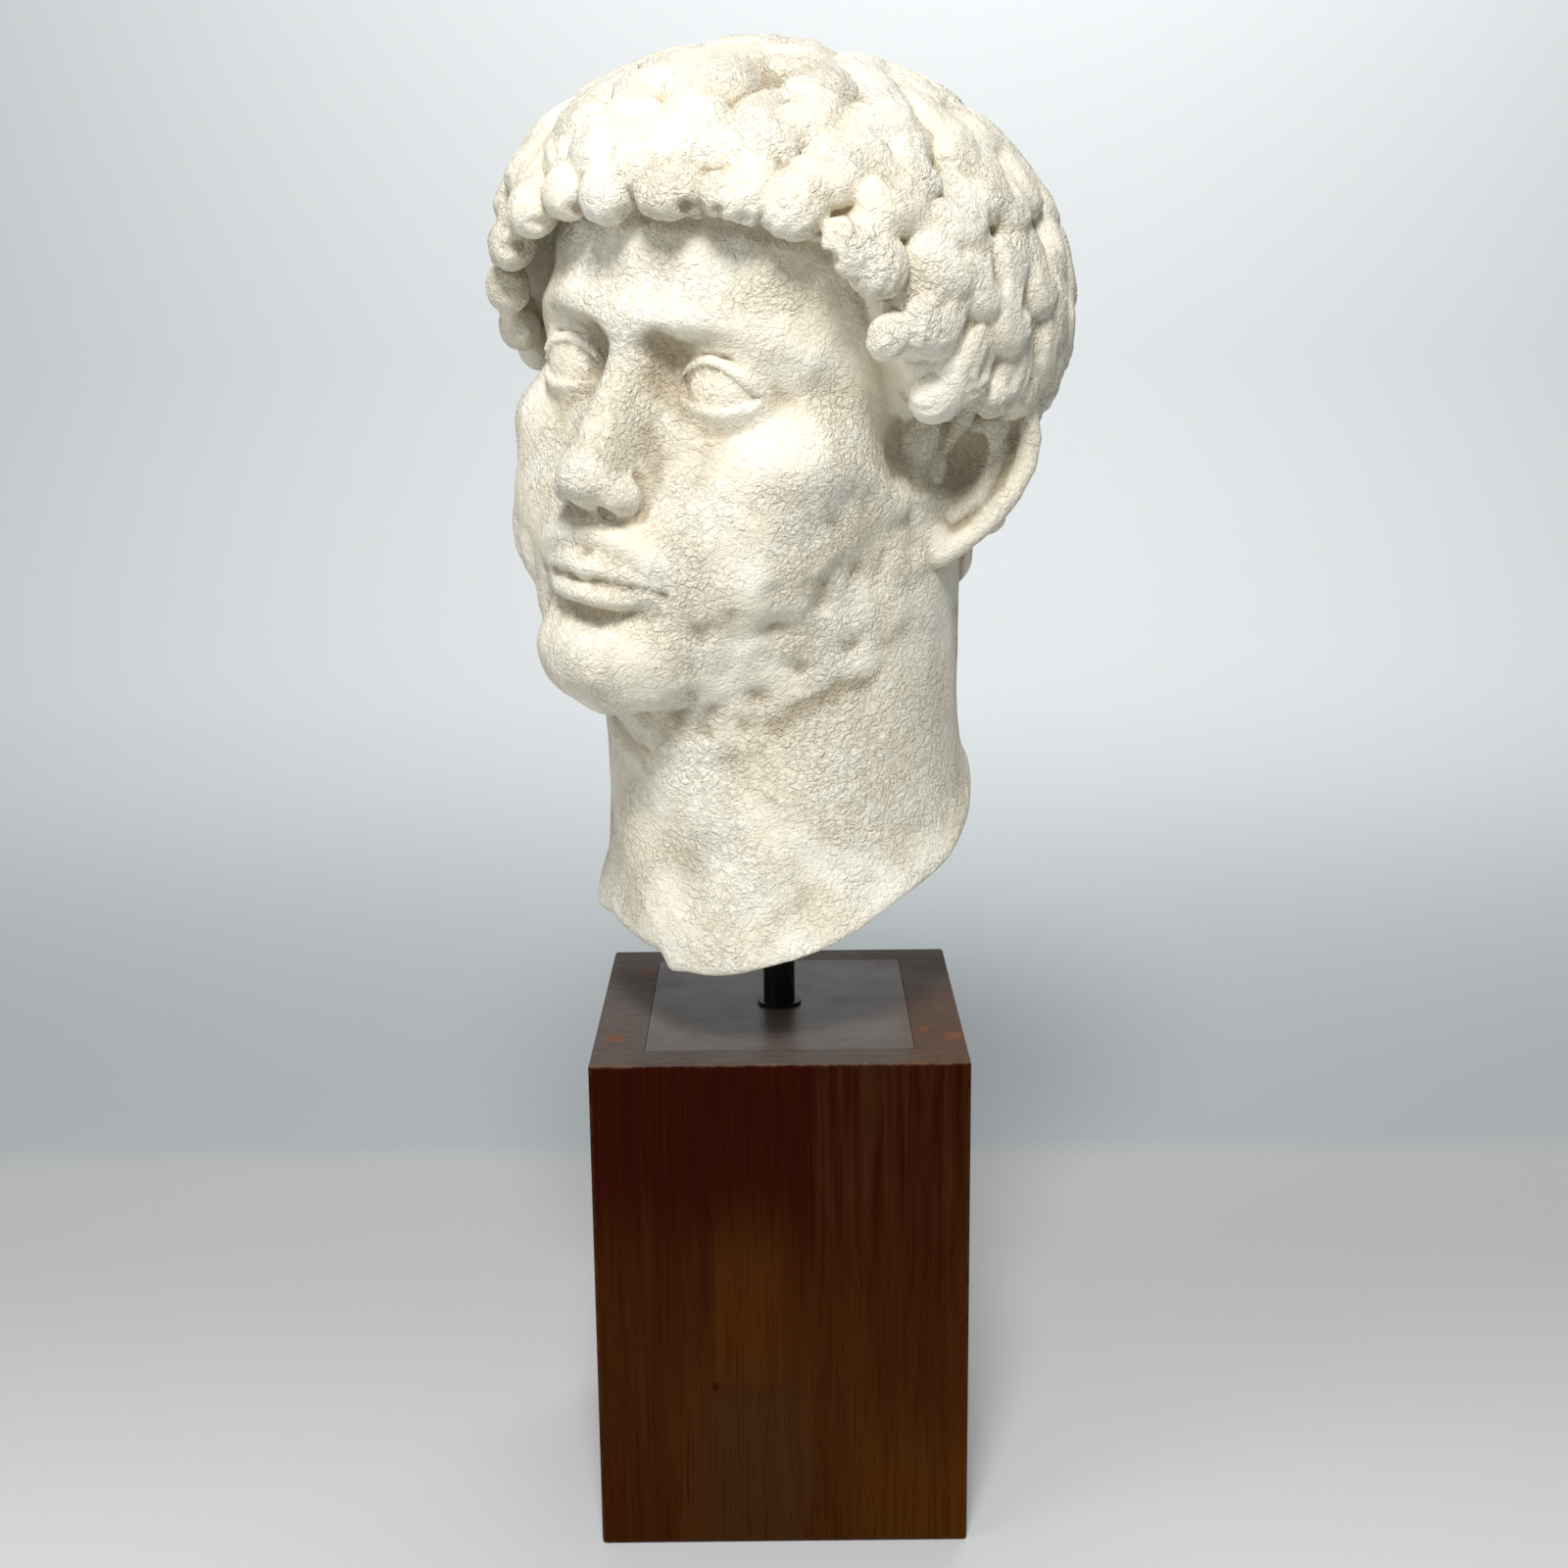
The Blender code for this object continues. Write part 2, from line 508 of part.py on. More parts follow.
def above_cut(w):
    level = CUT_POINT[2] + CUT_SLOPE[0] * (w[:, 0] - CUT_POINT[0]) + CUT_SLOPE[1] * (w[:, 1] - CUT_POINT[1])
    return (w[:, 2] - level) * 0.9


def neck(f):
    """The neck stands upright under the tilted head, laid out in metres, and flares to a collar at the cut."""
    def distance(p):
        w = placed(p)
        q = w[:, :2] - NECK_MID
        flare = COLLAR * np.exp(-np.maximum(above_cut(w), -0.02) / 0.013)
        half = np.array(NECK_HALF) + flare[:, None]
        a = length(q / half)
        d = a * (a - 1) / np.maximum(length(q / half ** 2), 1e-6)
        return np.maximum(d, w[:, 2] - 0.50) / FACE_THIRD
    f.add(distance, local((0, 0, 0.38)), 2.6, 0.30)
    pit = local((-0.040, -0.066, 0.300))
    for sign in (1, -1):
        f.limb((sign * 0.90, 0.22, 0.95), pit + np.array([sign * 0.16, 0.06, 0.05]), 0.16, 0.10, k=0.3)
    f.limb((0, -0.62, 0.10), local((-0.034, -0.056, 0.37)), 0.16, 0.10, k=0.35)


def cut_below(f):
    """The cast ends below in a sloping cut, its edge rounded and its face a little uneven."""
    def distance(p):
        w = placed(p)
        wave = 0.0015 * np.sin(w[:, 0] * 70 + 1.2) * np.cos(w[:, 1] * 55)
        nick = 0.0075 * step(-w[:, 0], 0.050, 0.057) * step(-w[:, 1], 0.0, 0.03)
        return (above_cut(w) - wave - nick) / FACE_THIRD
    f.add(distance, (0, 0, 0), 9, 0.10, cut=True)


def drilled_hollows(f):
    """Deep drill marks under and between the knobs of the fringe."""
    for degrees, height, radius in DRILL_MARKS:
        a = math.radians(degrees)
        p, n = scalp(SKULL + np.array([math.sin(a) * 1.3, -math.cos(a) * 1.6, height - SKULL[2]]), -0.10)
        f.limb(p + n * 0.12, p - n * 0.10 + np.array([0, 0, 0.06]), radius, radius * 0.7, k=0.03, cut=True)


def head_form():
    f = Form()
    skull_and_face(f)
    neck(f)
    hair_cap(f)
    nose(f)
    eyes(f)
    mouth(f)
    beard(f)
    hair(f)
    nape(f)
    drilled_hollows(f)
    ears(f)
    cut_below(f)
    return f


def blocked_out(form):
    """A rough mesh of the form: a ball for each of its shapes, the hair's mass and a round neck."""
    bm = bmesh.new()
    bmesh.ops.create_icosphere(bm, subdivisions=3, radius=1)
    ball = np.array([v.co[:] for v in bm.verts])
    faces = np.array([[v.index for v in face.verts] for face in bm.faces])
    bm.free()
    shells = [middle + (ball * radii) @ axes for middle, radii, axes in form.balls]
    # The hair's mass is drawn in below the hairline, clear of the face
    cap = ball * (SKULL_R + HAIR_DEPTH - 0.06)
    bare = cap[:, 2] + SKULL[2] < hairline(azimuth_of(cap))
    cap[bare] *= 0.75
    shells.append(cap + SKULL)
    shells.append(ball * (0.85, 0.75, 0.95) + (0, -0.25, 1.30))
    mesh = bpy.data.meshes.new("head")
    corners = np.vstack([faces + len(ball) * i for i in range(len(shells))])
    mesh.from_pydata(np.vstack(shells).tolist(), [], corners.tolist())
    bm = bmesh.new()
    bm.from_mesh(mesh)
    top, foot = local([(NECK_MID[0], NECK_MID[1], 0.480), (NECK_MID[0], NECK_MID[1], 0.300)])
    axis = Vector(top - foot)
    place = Matrix.Translation(Vector((top + foot) / 2)) @ axis.to_track_quat("Z", "Y").to_matrix().to_4x4()
    radius = NECK_HALF[0] / FACE_THIRD
    made = bmesh.ops.create_cone(bm, cap_ends=True, segments=48, radius1=radius, radius2=radius,
                                 depth=axis.length, matrix=place)
    for v in made["verts"]:
        w = placed(np.array(v.co))
        if w[2] < 0.39:
            w[:2] += (w[:2] - NECK_MID) * COLLAR / NECK_HALF[0]
            w[2] -= above_cut(w[None])[0] / 0.9
            v.co = local(w)
    bm.to_mesh(mesh)
    bm.free()
    return mesh


def settled(form, p, times, reach=0.08):
    """Points moved along the form's slope on to its surface."""
    eps = 0.003
    corners = np.array([(1, 1, 1), (-1, -1, 1), (-1, 1, -1), (1, -1, -1)], float)
    for _ in range(times):
        near = form.near(p)
        samples = [form(p + c * eps, near) for c in corners]
        slope = sum(v[:, None] * c for v, c in zip(samples, corners)) / (4 * eps)
        level = sum(samples) / 4
        steep = np.maximum((slope * slope).sum(-1), 0.25)
        p = p - slope * (np.clip(level, -reach, reach) / steep)[:, None]
    return p


def vertices(mesh):
    flat = np.empty(len(mesh.vertices) * 3)
    mesh.vertices.foreach_get("co", flat)
    return flat.reshape(-1, 3)


def set_vertices(mesh, p):
    mesh.vertices.foreach_set("co", np.asarray(p, float).ravel())
    mesh.update()


def evened(mesh, p, share=0.5):
    """Points drawn towards the mean of their neighbours, which spreads them evenly."""
    edges = np.empty(len(mesh.edges) * 2, int)
    mesh.edges.foreach_get("vertices", edges)
    a, b = edges.reshape(-1, 2).T
    total = np.zeros_like(p)
    count = np.zeros(len(p))
    for i, j in ((a, b), (b, a)):
        np.add.at(total, i, p[j])
        np.add.at(count, i, 1)
    return p + share * (total / count[:, None] - p)


def remeshed(ob, size):
    """The object's mesh laid out anew in even squares."""
    modifier = ob.modifiers.new("Remesh", "REMESH")
    modifier.mode = "VOXEL"
    modifier.voxel_size = size
    mesh = bpy.data.meshes.new_from_object(ob.evaluated_get(bpy.context.evaluated_depsgraph_get()))
    ob.modifiers.remove(modifier)
    old = ob.data
    ob.data = mesh
    bpy.data.meshes.remove(old)


def in_collection(ob, collection):
    for other in list(ob.users_collection):
        other.objects.unlink(ob)
    collection.objects.link(ob)
    return ob


def make_head(parts, cutters):
    form = head_form()
    head = bpy.data.objects.new("head", blocked_out(form))
    parts.objects.link(head)
    remeshed(head, VOXEL)
    p = vertices(head.data)
    for _ in range(5):
        p = evened(head.data, settled(form, p, 1), 0.35)
    set_vertices(head.data, settled(form, p, 2, 0.03))
    set_vertices(head.data, placed(vertices(head.data)))
    thin = head.modifiers.new("Thin", "DECIMATE")
    thin.ratio = TRIANGLES / (2 * len(head.data.polygons))
    thin.use_collapse_triangulate = True
    bpy.ops.mesh.primitive_cylinder_add(vertices=24, radius=POST_RADIUS + GAP, depth=POST_TOP + GAP - 0.25,
                                        location=(0, 0, (POST_TOP + GAP + 0.25) / 2))
    bore = in_collection(bpy.context.object, cutters)
    bore.name = "bore_cutter"
    bore.hide_render = True
    bore.display_type = "WIRE"
    cut = head.modifiers.new("Bore", "BOOLEAN")
    cut.object = bore
    return head


def make_post(parts):
    """A turned profile from the top down: rod, flange on the plinth, spigot through the top panel."""
    top = PLINTH_HEIGHT + GAP
    chamfer = 0.0008
    outline = [(0, POST_TOP), (POST_RADIUS - chamfer, POST_TOP), (POST_RADIUS, POST_TOP - chamfer),
               (POST_RADIUS, top + FLANGE_THICK), (FLANGE_RADIUS - chamfer / 2, top + FLANGE_THICK),
               (FLANGE_RADIUS, top + FLANGE_THICK - chamfer / 2), (FLANGE_RADIUS, top), (SPIGOT_RADIUS, top),
               (SPIGOT_RADIUS, top - SPIGOT_DEPTH), (0, top - SPIGOT_DEPTH)]
    mesh = bpy.data.meshes.new("mounting_post")
    mesh.from_pydata([(r, 0, z) for r, z in outline], [(i, i + 1) for i in range(len(outline) - 1)], [])
    post = bpy.data.objects.new("mounting_post", mesh)
    parts.objects.link(post)
    turn = post.modifiers.new("Turn", "SCREW")
    turn.steps = turn.render_steps = 32
    turn.use_merge_vertices = True
    turn.merge_threshold = 0.00005
    return post


def make_board(name, parts, low, high, outer=()):
    """A board between two corners. The edges where two of its outer faces meet are eased."""
    low, high = Vector(low), Vector(high)
    bpy.ops.mesh.primitive_cube_add(size=1, location=(low + high) / 2)
    board = in_collection(bpy.context.object, parts)
    board.name = board.data.name = name
    for v in board.data.vertices:
        v.co = Vector(a * b for a, b in zip(v.co, high - low))
    if outer:
        weights = board.data.attributes.new("bevel_weight_edge", "FLOAT", "EDGE")
        normals = [Vector(o) for o in outer]
        faces = [p for p in board.data.polygons if any(p.normal.dot(n) > 0.9 for n in normals)]
        for edge in board.data.edges:
            ends = tuple(sorted(edge.vertices))
            beside = sum(1 for p in faces if ends in [tuple(sorted(k)) for k in p.edge_keys])
            weights.data[edge.index].value = 1.0 if beside == 2 else 0.0
        bevel = board.modifiers.new("Eased edges", "BEVEL")
        bevel.width = EDGE_ROUND
        bevel.segments = 3
        bevel.limit_method = "WEIGHT"
    return board


def make_plinth(parts, cutters):
    half = PLINTH_WIDTH / 2
    inside = half - BOARD - GAP
    inner = half - SIDE_BOARD - GAP
    up, down, left, right, front, back = (0, 0, 1), (0, 0, -1), (-1, 0, 0), (1, 0, 0), (0, -1, 0), (0, 1, 0)
    boards = [
        make_board("plinth_front_board", parts, (-half, -half, 0), (half, -half + BOARD, PLINTH_HEIGHT),
                   (front, left, right, up, down)),
        make_board("plinth_back_board", parts, (-half, half - BOARD, 0), (half, half, PLINTH_HEIGHT),
                   (back, left, right, up, down)),
        make_board("plinth_left_board", parts, (-half, -inside, 0), (-half + SIDE_BOARD, inside, PLINTH_HEIGHT),
                   (left, up, down)),
        make_board("plinth_right_board", parts, (half - SIDE_BOARD, -inside, 0), (half, inside, PLINTH_HEIGHT),
                   (right, up, down)),
        make_board("plinth_top_panel", parts, (-inner, -inside, PLINTH_HEIGHT - BOARD),
                   (inner, inside, PLINTH_HEIGHT)),
        make_board("plinth_bottom_panel", parts, (-inner, -inside, 0), (inner, inside, BOARD)),
    ]
    bpy.ops.mesh.primitive_cylinder_add(vertices=32, radius=SPIGOT_RADIUS + GAP, depth=0.06,
                                        location=(0, 0, PLINTH_HEIGHT))
    hole = in_collection(bpy.context.object, cutters)
    hole.name = "spigot_cutter"
    hole.hide_render = True
    hole.display_type = "WIRE"
    cut = boards[4].modifiers.new("Hole", "BOOLEAN")
    cut.object = hole
    return boards


def material(name, colour, roughness, metallic=0.0):
    made = bpy.data.materials.new(name)
    made.use_nodes = True
    shader = made.node_tree.nodes["Principled BSDF"]
    shader.inputs["Base Color"].default_value = (*colour, 1)
    shader.inputs["Roughness"].default_value = roughness
    shader.inputs["Metallic"].default_value = metallic
    return made


def main():
    for ob in list(bpy.data.objects):
        bpy.data.objects.remove(ob)
    parts = bpy.data.collections.new("roman_emperor_bust")
    cutters = bpy.data.collections.new("cutters")
    bpy.context.scene.collection.children.link(parts)
    bpy.context.scene.collection.children.link(cutters)
    boards = make_plinth(parts, cutters)
    post = make_post(parts)
    head = make_head(parts, cutters)
    wood = {"plinth_front_board": (0.070, 0.026, 0.012), "plinth_back_board": (0.062, 0.023, 0.011),
            "plinth_left_board": (0.065, 0.024, 0.012), "plinth_right_board": (0.066, 0.025, 0.012),
            "plinth_top_panel": (0.052, 0.026, 0.018), "plinth_bottom_panel": (0.085, 0.045, 0.025)}
    for board in boards:
        board.data.materials.append(material(board.name + "_wood", wood[board.name], 0.38))
    post.data.materials.append(material("satin_black_steel", (0.012, 0.012, 0.013), 0.45, 1.0))
    head.data.materials.clear()
    head.data.materials.append(material("ivory_crackle_plaster", (0.78, 0.72, 0.60), 0.80))
    for ob in boards + [post]:
        ob.data.shade_smooth()
        ob.data.set_sharp_from_angle(angle=math.radians(35))
    head.data.shade_smooth()


main()
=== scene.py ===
"""Antique-style emperor's head in crackled plaster on a wooden plinth: carving, finishes and studio."""
import math

import bmesh
import bpy
import numpy as np
from mathutils import Matrix, Vector, noise


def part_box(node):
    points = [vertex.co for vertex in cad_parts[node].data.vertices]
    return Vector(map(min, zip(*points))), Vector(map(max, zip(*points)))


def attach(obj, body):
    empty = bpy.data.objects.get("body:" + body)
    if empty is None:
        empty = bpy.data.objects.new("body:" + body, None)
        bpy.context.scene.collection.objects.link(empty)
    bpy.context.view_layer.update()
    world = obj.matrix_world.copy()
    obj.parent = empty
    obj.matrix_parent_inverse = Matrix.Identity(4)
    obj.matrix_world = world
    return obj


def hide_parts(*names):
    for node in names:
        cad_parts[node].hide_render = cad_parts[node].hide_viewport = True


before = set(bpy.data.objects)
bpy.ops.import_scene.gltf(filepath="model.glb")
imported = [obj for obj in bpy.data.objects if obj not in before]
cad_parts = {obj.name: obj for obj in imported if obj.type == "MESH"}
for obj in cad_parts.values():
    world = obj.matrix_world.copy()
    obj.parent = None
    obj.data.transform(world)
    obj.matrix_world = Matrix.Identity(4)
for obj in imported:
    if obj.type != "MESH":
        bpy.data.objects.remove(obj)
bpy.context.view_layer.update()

bl_info = {
    "name": "Emperor's Head on a Plinth",
    "version": (1, 0, 0),
    "blender": (4, 5, 0),
    "location": "3D View > Sidebar > Emperor's Head",
    "description": "Carves the plaster head, finishes the post and the plinth's boards, and sets the studio",
    "category": "Object",
}

HEAD_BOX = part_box("head")
PLINTH_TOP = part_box("plinth_front_board")[1][2]
POST_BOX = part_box("mounting_post")

# The bore for the post, in metres: its play, the post's radius and a height clear below the neck's cut
GAP = 0.0003
POST_RADIUS = 0.0078
BORE_FOOT = 0.25

# Head: a face third is the distance from chin to nose, nose to brow or brow to hairline
FACE_THIRD = 0.083
YAW = math.radians(-33)
TILT = math.radians(9)
SEAT = np.array([-0.025, 0.005, 0.410])
VOXEL = 0.0335
TRIANGLES = 190000

# The skin, in metres: its unevenness, how deep a narrow and a wide hollow are marked, and the play in the box
UNEVEN = 0.0005
NARROW_HOLLOW = 0.0006
WIDE_HOLLOW = 0.0030
INSIDE = 1e-5

# A shape is felt this far beyond its own size: so much at least, and so much for each unit of its blend
REACH_LEAST = 0.14
REACH_PER_BLEND = 1.3
# Further than any point is from any shape, in face thirds
FAR = 9.0

# Neck, in metres in the shared frame
CUT_POINT = np.array([-0.033, -0.075, 0.287])
CUT_SLOPE = (0.304, 0.376)
NECK_HALF = (0.085, 0.085)
NECK_MID = (0.003, 0.008)
COLLAR = 0.013
# The cut leans, so a height above it is a little more than the distance from it
CUT_LEAN = 0.9

# Skull and hair, in face thirds
SKULL = np.array([0, 0.065, 2.28])
SKULL_R = np.array([1.17, 1.485, 1.22])
HAIR_DEPTH = np.array([0.36, 0.29, 0.09])
# Rows of locks in degrees down from the crown, the room for each lock, and a short curl's widths
LOCK_ROWS = np.arange(7, 150, 10.5)
LOCK_SPACING = 0.36
CURL_WIDTHS = np.array([0.8, 1.0, 1.1, 1.05, 0.95, 0.85])

# Drill marks under the fringe: degrees round from the middle of the face, height and radius
DRILL_MARKS = [(3, 2.47, 0.050), (16.5, 2.55, 0.042), (23, 2.56, 0.026), (28, 2.54, 0.026), (44, 2.42, 0.050),
               (50, 2.24, 0.035), (64, 1.96, 0.030), (75, 1.76, 0.030), (-10, 2.46, 0.045), (-22, 2.38, 0.045),
               (-33, 2.27, 0.040), (-42, 2.06, 0.040), (-51, 1.86, 0.035)]

# Rolled curls along the front: degrees round, height, half width and half height
KNOBS = [(-3.3, 2.60, 0.150, 0.165), (11.7, 2.65, 0.175, 0.150), (22.5, 2.67, 0.085, 0.125),
         (28, 2.63, 0.075, 0.110), (37, 2.67, 0.180, 0.185), (54.5, 2.44, 0.155, 0.170),
         (58.5, 2.14, 0.110, 0.130), (68, 2.18, 0.140, 0.130), (73, 1.88, 0.150, 0.150),
         (86, 2.06, 0.130, 0.150), (-15.5, 2.58, 0.150, 0.150), (-28, 2.48, 0.155, 0.160),
         (-39, 2.30, 0.150, 0.150), (-48, 2.09, 0.140, 0.145), (-57, 1.88, 0.130, 0.140),
         (-67, 1.76, 0.130, 0.130), (-78, 1.86, 0.135, 0.130), (-88, 2.04, 0.125, 0.140)]

# The almond opening between the lids, in face thirds out from the middle of the face and up from the chin
LID_PLACES = [0.225, 0.265, 0.320, 0.400, 0.470, 0.550, 0.620, 0.670, 0.705]
UPPER_LID = [1.700, 1.752, 1.806, 1.846, 1.854, 1.836, 1.796, 1.756, 1.716]
LOWER_LID = [1.700, 1.676, 1.654, 1.634, 1.626, 1.628, 1.648, 1.680, 1.716]

# Rubbed edges of the plinth, in metres in from the edge: where the wear starts and where it is full
WEAR_START = 0.0021
WEAR_FULL = 0.0006

# The fitted camera, in metres and degrees, and the strength of the light all round
CAMERA_PLACE = (0.0015, -1.0297, 0.5945)
CAMERA_PITCH = 12.844
CAMERA_YAW = 0.107
CAMERA_ROLL = 0.558
SKY_STRENGTH = 0.17

# The room, in metres: the floor's width and depth, the wall's height and the cove between them
FLOOR_SIZE = (9.0, 6.0)
WALL_HEIGHT = 3.0
COVE = 0.50


def unit(v):
    v = np.asarray(v, float)
    return v / np.linalg.norm(v)


def smooth_min(a, b, k):
    h = np.clip(0.5 + 0.5 * (b - a) / k, 0, 1)
    return b + (a - b) * h - k * h * (1 - h)


def step(x, low, high):
    t = np.clip((x - low) / (high - low), 0, 1)
    return t * t * (3 - 2 * t)


def length(v):
    return np.sqrt((v * v).sum(-1))


def off_ellipsoid(q, radii):
    """How far each point lies outside an ellipsoid, with q measured from its middle."""
    a = length(q / radii)
    return a * (a - 1) / np.maximum(length(q / radii ** 2), 1e-6)


def blend_fill(k):
    """How far a wide blend fills out beyond the shape itself."""
    return 0.3 * k if k >= 0.15 else 0.0


class Form:
    """Shapes laid one on another. Each is blended over the distance k, and a cut takes away.

    The balls are the same shapes roughly blocked out: middle, radii and axes of each.
    """
    def __init__(self):
        self.strokes = []
        self.balls = []

    def add(self, distance, centre, reach, k, cut=False):
        self.strokes.append((distance, np.asarray(centre, float), reach + max(REACH_LEAST, REACH_PER_BLEND * k),
                             k, cut))

    def near(self, p):
        """For each shape, the numbers of the points within its reach."""
        x, y, z = np.ascontiguousarray(np.asarray(p, float).T)
        return [np.flatnonzero((x - c[0]) ** 2 + (y - c[1]) ** 2 + (z - c[2]) ** 2 < reach * reach)
                for _, c, reach, _, _ in self.strokes]

    def __call__(self, p, near=None):
        d = np.full(len(p), FAR)
        for (distance, _, _, k, cut), chosen in zip(self.strokes, near or self.near(p)):
            if len(chosen) == 0:
                continue
            s = distance(p[chosen])
            d[chosen] = -smooth_min(-d[chosen], s, k) if cut else smooth_min(d[chosen], s, k)
        return d

    def ellipsoid(self, centre, radii, k=0.1, axes=None, cut=False):
        centre, radii = np.asarray(centre, float), np.asarray(radii, float)
        axes = np.eye(3) if axes is None else np.asarray(axes, float)

        def distance(p):
            return off_ellipsoid((p - centre) @ axes.T, radii)
        self.add(distance, centre, radii.max(), k, cut)
        if not cut:
            self.balls.append((centre, radii + blend_fill(k), axes))

    def tube(self, points, radii, k=0.05, cut=False):
        """A round limb through the points, with a radius at each."""
        points, radii = np.asarray(points, float), np.asarray(radii, float)
        centre = points.mean(0)

        def distance(p):
            d = np.full(len(p), FAR)
            for a, b, ra, rb in zip(points[:-1], points[1:], radii[:-1], radii[1:]):
                along = b - a
                t = np.clip(((p - a) @ along) / (along @ along), 0, 1)
                d = np.minimum(d, length(p - a - t[:, None] * along) - (ra + (rb - ra) * t))
            return d
        self.add(distance, centre, length(points - centre).max() + radii.max(), k, cut)
        if cut:
            return
        for a, b, ra, rb in zip(points[:-1], points[1:], radii[:-1], radii[1:]):
            for t in np.linspace(0, 1, 1 + int(math.ceil(length(b - a) / (0.6 * min(ra, rb))))):
                self.balls.append((a + (b - a) * t, np.full(3, ra + (rb - ra) * t + blend_fill(k)), np.eye(3)))

    def ribbon(self, points, normals, radii, flat=0.6, k=0.025, groove=0.013):
        """A flattened limb lying on the outward directions given at its points, its back grooved."""
        centre = points.mean(0)

        def distance(p):
            d = np.full(len(p), FAR)
            for i in range(len(points) - 1):
                along = points[i + 1] - points[i]
                out = unit(normals[i] + normals[i + 1])
                side = unit(np.cross(out, along))
                t = np.clip(((p - points[i]) @ along) / (along @ along), 0, 1)
                off = p - points[i] - t[:, None] * along
                high, wide = off @ out, off @ side
                radius = radii[i] + (radii[i + 1] - radii[i]) * t
                flatly = (off * off).sum(-1) + high * high * (1 / flat ** 2 - 1)
                steep = (off * off).sum(-1) + high * high * (1 / flat ** 4 - 1)
                a = np.sqrt(flatly)
                level = (a - radius) * a / np.sqrt(np.maximum(steep, 1e-9))
                comb = 0.5 + 0.5 * np.cos(9.5 * wide / radius)
                level = level + groove * comb * step(high, 0, 0.5 * flat * radius)
                d = np.minimum(d, level)
            return d
        self.add(distance, centre, length(points - centre).max() + radii.max(), k)
        for a, b, ra, rb in zip(points[:-1], points[1:], radii[:-1], radii[1:]):
            for t in (0, 0.5):
                self.balls.append((a + (b - a) * t, np.full(3, (ra + (rb - ra) * t) * flat), np.eye(3)))

    def knob(self, centre, axes, radii, k=0.024, groove=0.007):
        """A rolled curl: a round lump with strands combed over it."""
        centre, radii, axes = np.asarray(centre, float), np.asarray(radii, float), np.asarray(axes, float)

        def distance(p):
            q = (p - centre) @ axes.T
            level = off_ellipsoid(q, radii)
            bend = q[:, 0] + 0.5 * q[:, 2] ** 2 / radii[2]
            comb = 0.5 + 0.5 * np.cos(2 * math.pi * bend / 0.085)
            return level + groove * comb * step(q[:, 2] / radii[2], -0.6, 0.2)
        self.add(distance, centre, radii.max(), k)
        self.balls.append((centre, radii, axes))

    def limb(self, a, b, ra, rb, k=0.1, cut=False):
        self.tube([a, b], [ra, rb], k, cut)

    def pair(self, kind, *args, **named):
        """The same shape on the left (+x) and, mirrored, on the right."""
        getattr(self, kind)(*args, **named)
        flip = np.array([-1, 1, 1.0])
        args = [np.asarray(a, float) * flip if np.ndim(a) >= 1 and i < (2 if kind == "limb" else 1) else a
                for i, a in enumerate(args)]
        if named.get("axes") is not None:
            named["axes"] = np.asarray(named["axes"]) * flip
        getattr(self, kind)(*args, **named)


def curve(points, count):
    """Catmull-Rom curve through the points."""
    points = np.asarray(points, float)
    padded = np.vstack([2 * points[0] - points[1], points, 2 * points[-1] - points[-2]])
    out = []
    for s in np.linspace(0, len(points) - 1, count):
        i = min(int(s), len(points) - 2)
        t = s - i
        a, b, c, d = padded[i:i + 4]
        square, cube = 2 * a - 5 * b + 4 * c - d, 3 * b - a - 3 * c + d
        out.append(0.5 * (2 * b + (c - a) * t + square * t * t + cube * t ** 3))
    return np.array(out)


def skull_and_face(f):
    # Cranium and forehead
    f.ellipsoid(SKULL, SKULL_R, k=0.01)
    f.ellipsoid((0, -0.50, 2.42), (0.93, 0.90, 0.80), k=0.2)
    # Upper face, cheekbones, muzzle
    f.ellipsoid((0, -0.52, 1.50), (1.00, 0.80, 0.95), k=0.2)
    f.ellipsoid((0, -0.62, 0.92), (0.80, 0.76, 0.80), k=0.15)
    f.pair("ellipsoid", (0.70, -0.72, 1.40), (0.38, 0.42, 0.26), k=0.2)
    f.ellipsoid((0, -0.90, 0.78), (0.58, 0.57, 0.50), k=0.18)
    f.pair("ellipsoid", (0.52, -0.76, 1.00), (0.46, 0.47, 0.55), k=0.2)
    # Jaw
    f.pair("limb", (0.76, -0.12, 0.66), (0.22, -1.08, 0.24), 0.25, 0.21, k=0.2)
    f.pair("limb", (0.80, 0.00, 0.72), (0.94, 0.02, 1.60), 0.20, 0.20, k=0.2)
    f.ellipsoid((0, -1.16, 0.26), (0.34, 0.30, 0.27), k=0.14)
    # Floor of the mouth, between the jaw's two sides
    f.ellipsoid((0, -0.45, 0.42), (0.66, 0.70, 0.36), k=0.2)
    # Brow ridge
    brow = curve([(0.10, -1.36, 1.99), (0.38, -1.33, 2.06), (0.66, -1.13, 2.03), (0.80, -0.95, 1.95)], 8)
    f.pair("tube", brow, np.linspace(0.11, 0.06, 8), k=0.18)
    # Eye sockets
    f.pair("ellipsoid", (0.44, -1.40, 1.76), (0.30, 0.23, 0.17), k=0.16, cut=True)
    f.pair("ellipsoid", (0.20, -1.42, 1.80), (0.10, 0.16, 0.14), k=0.12, cut=True)


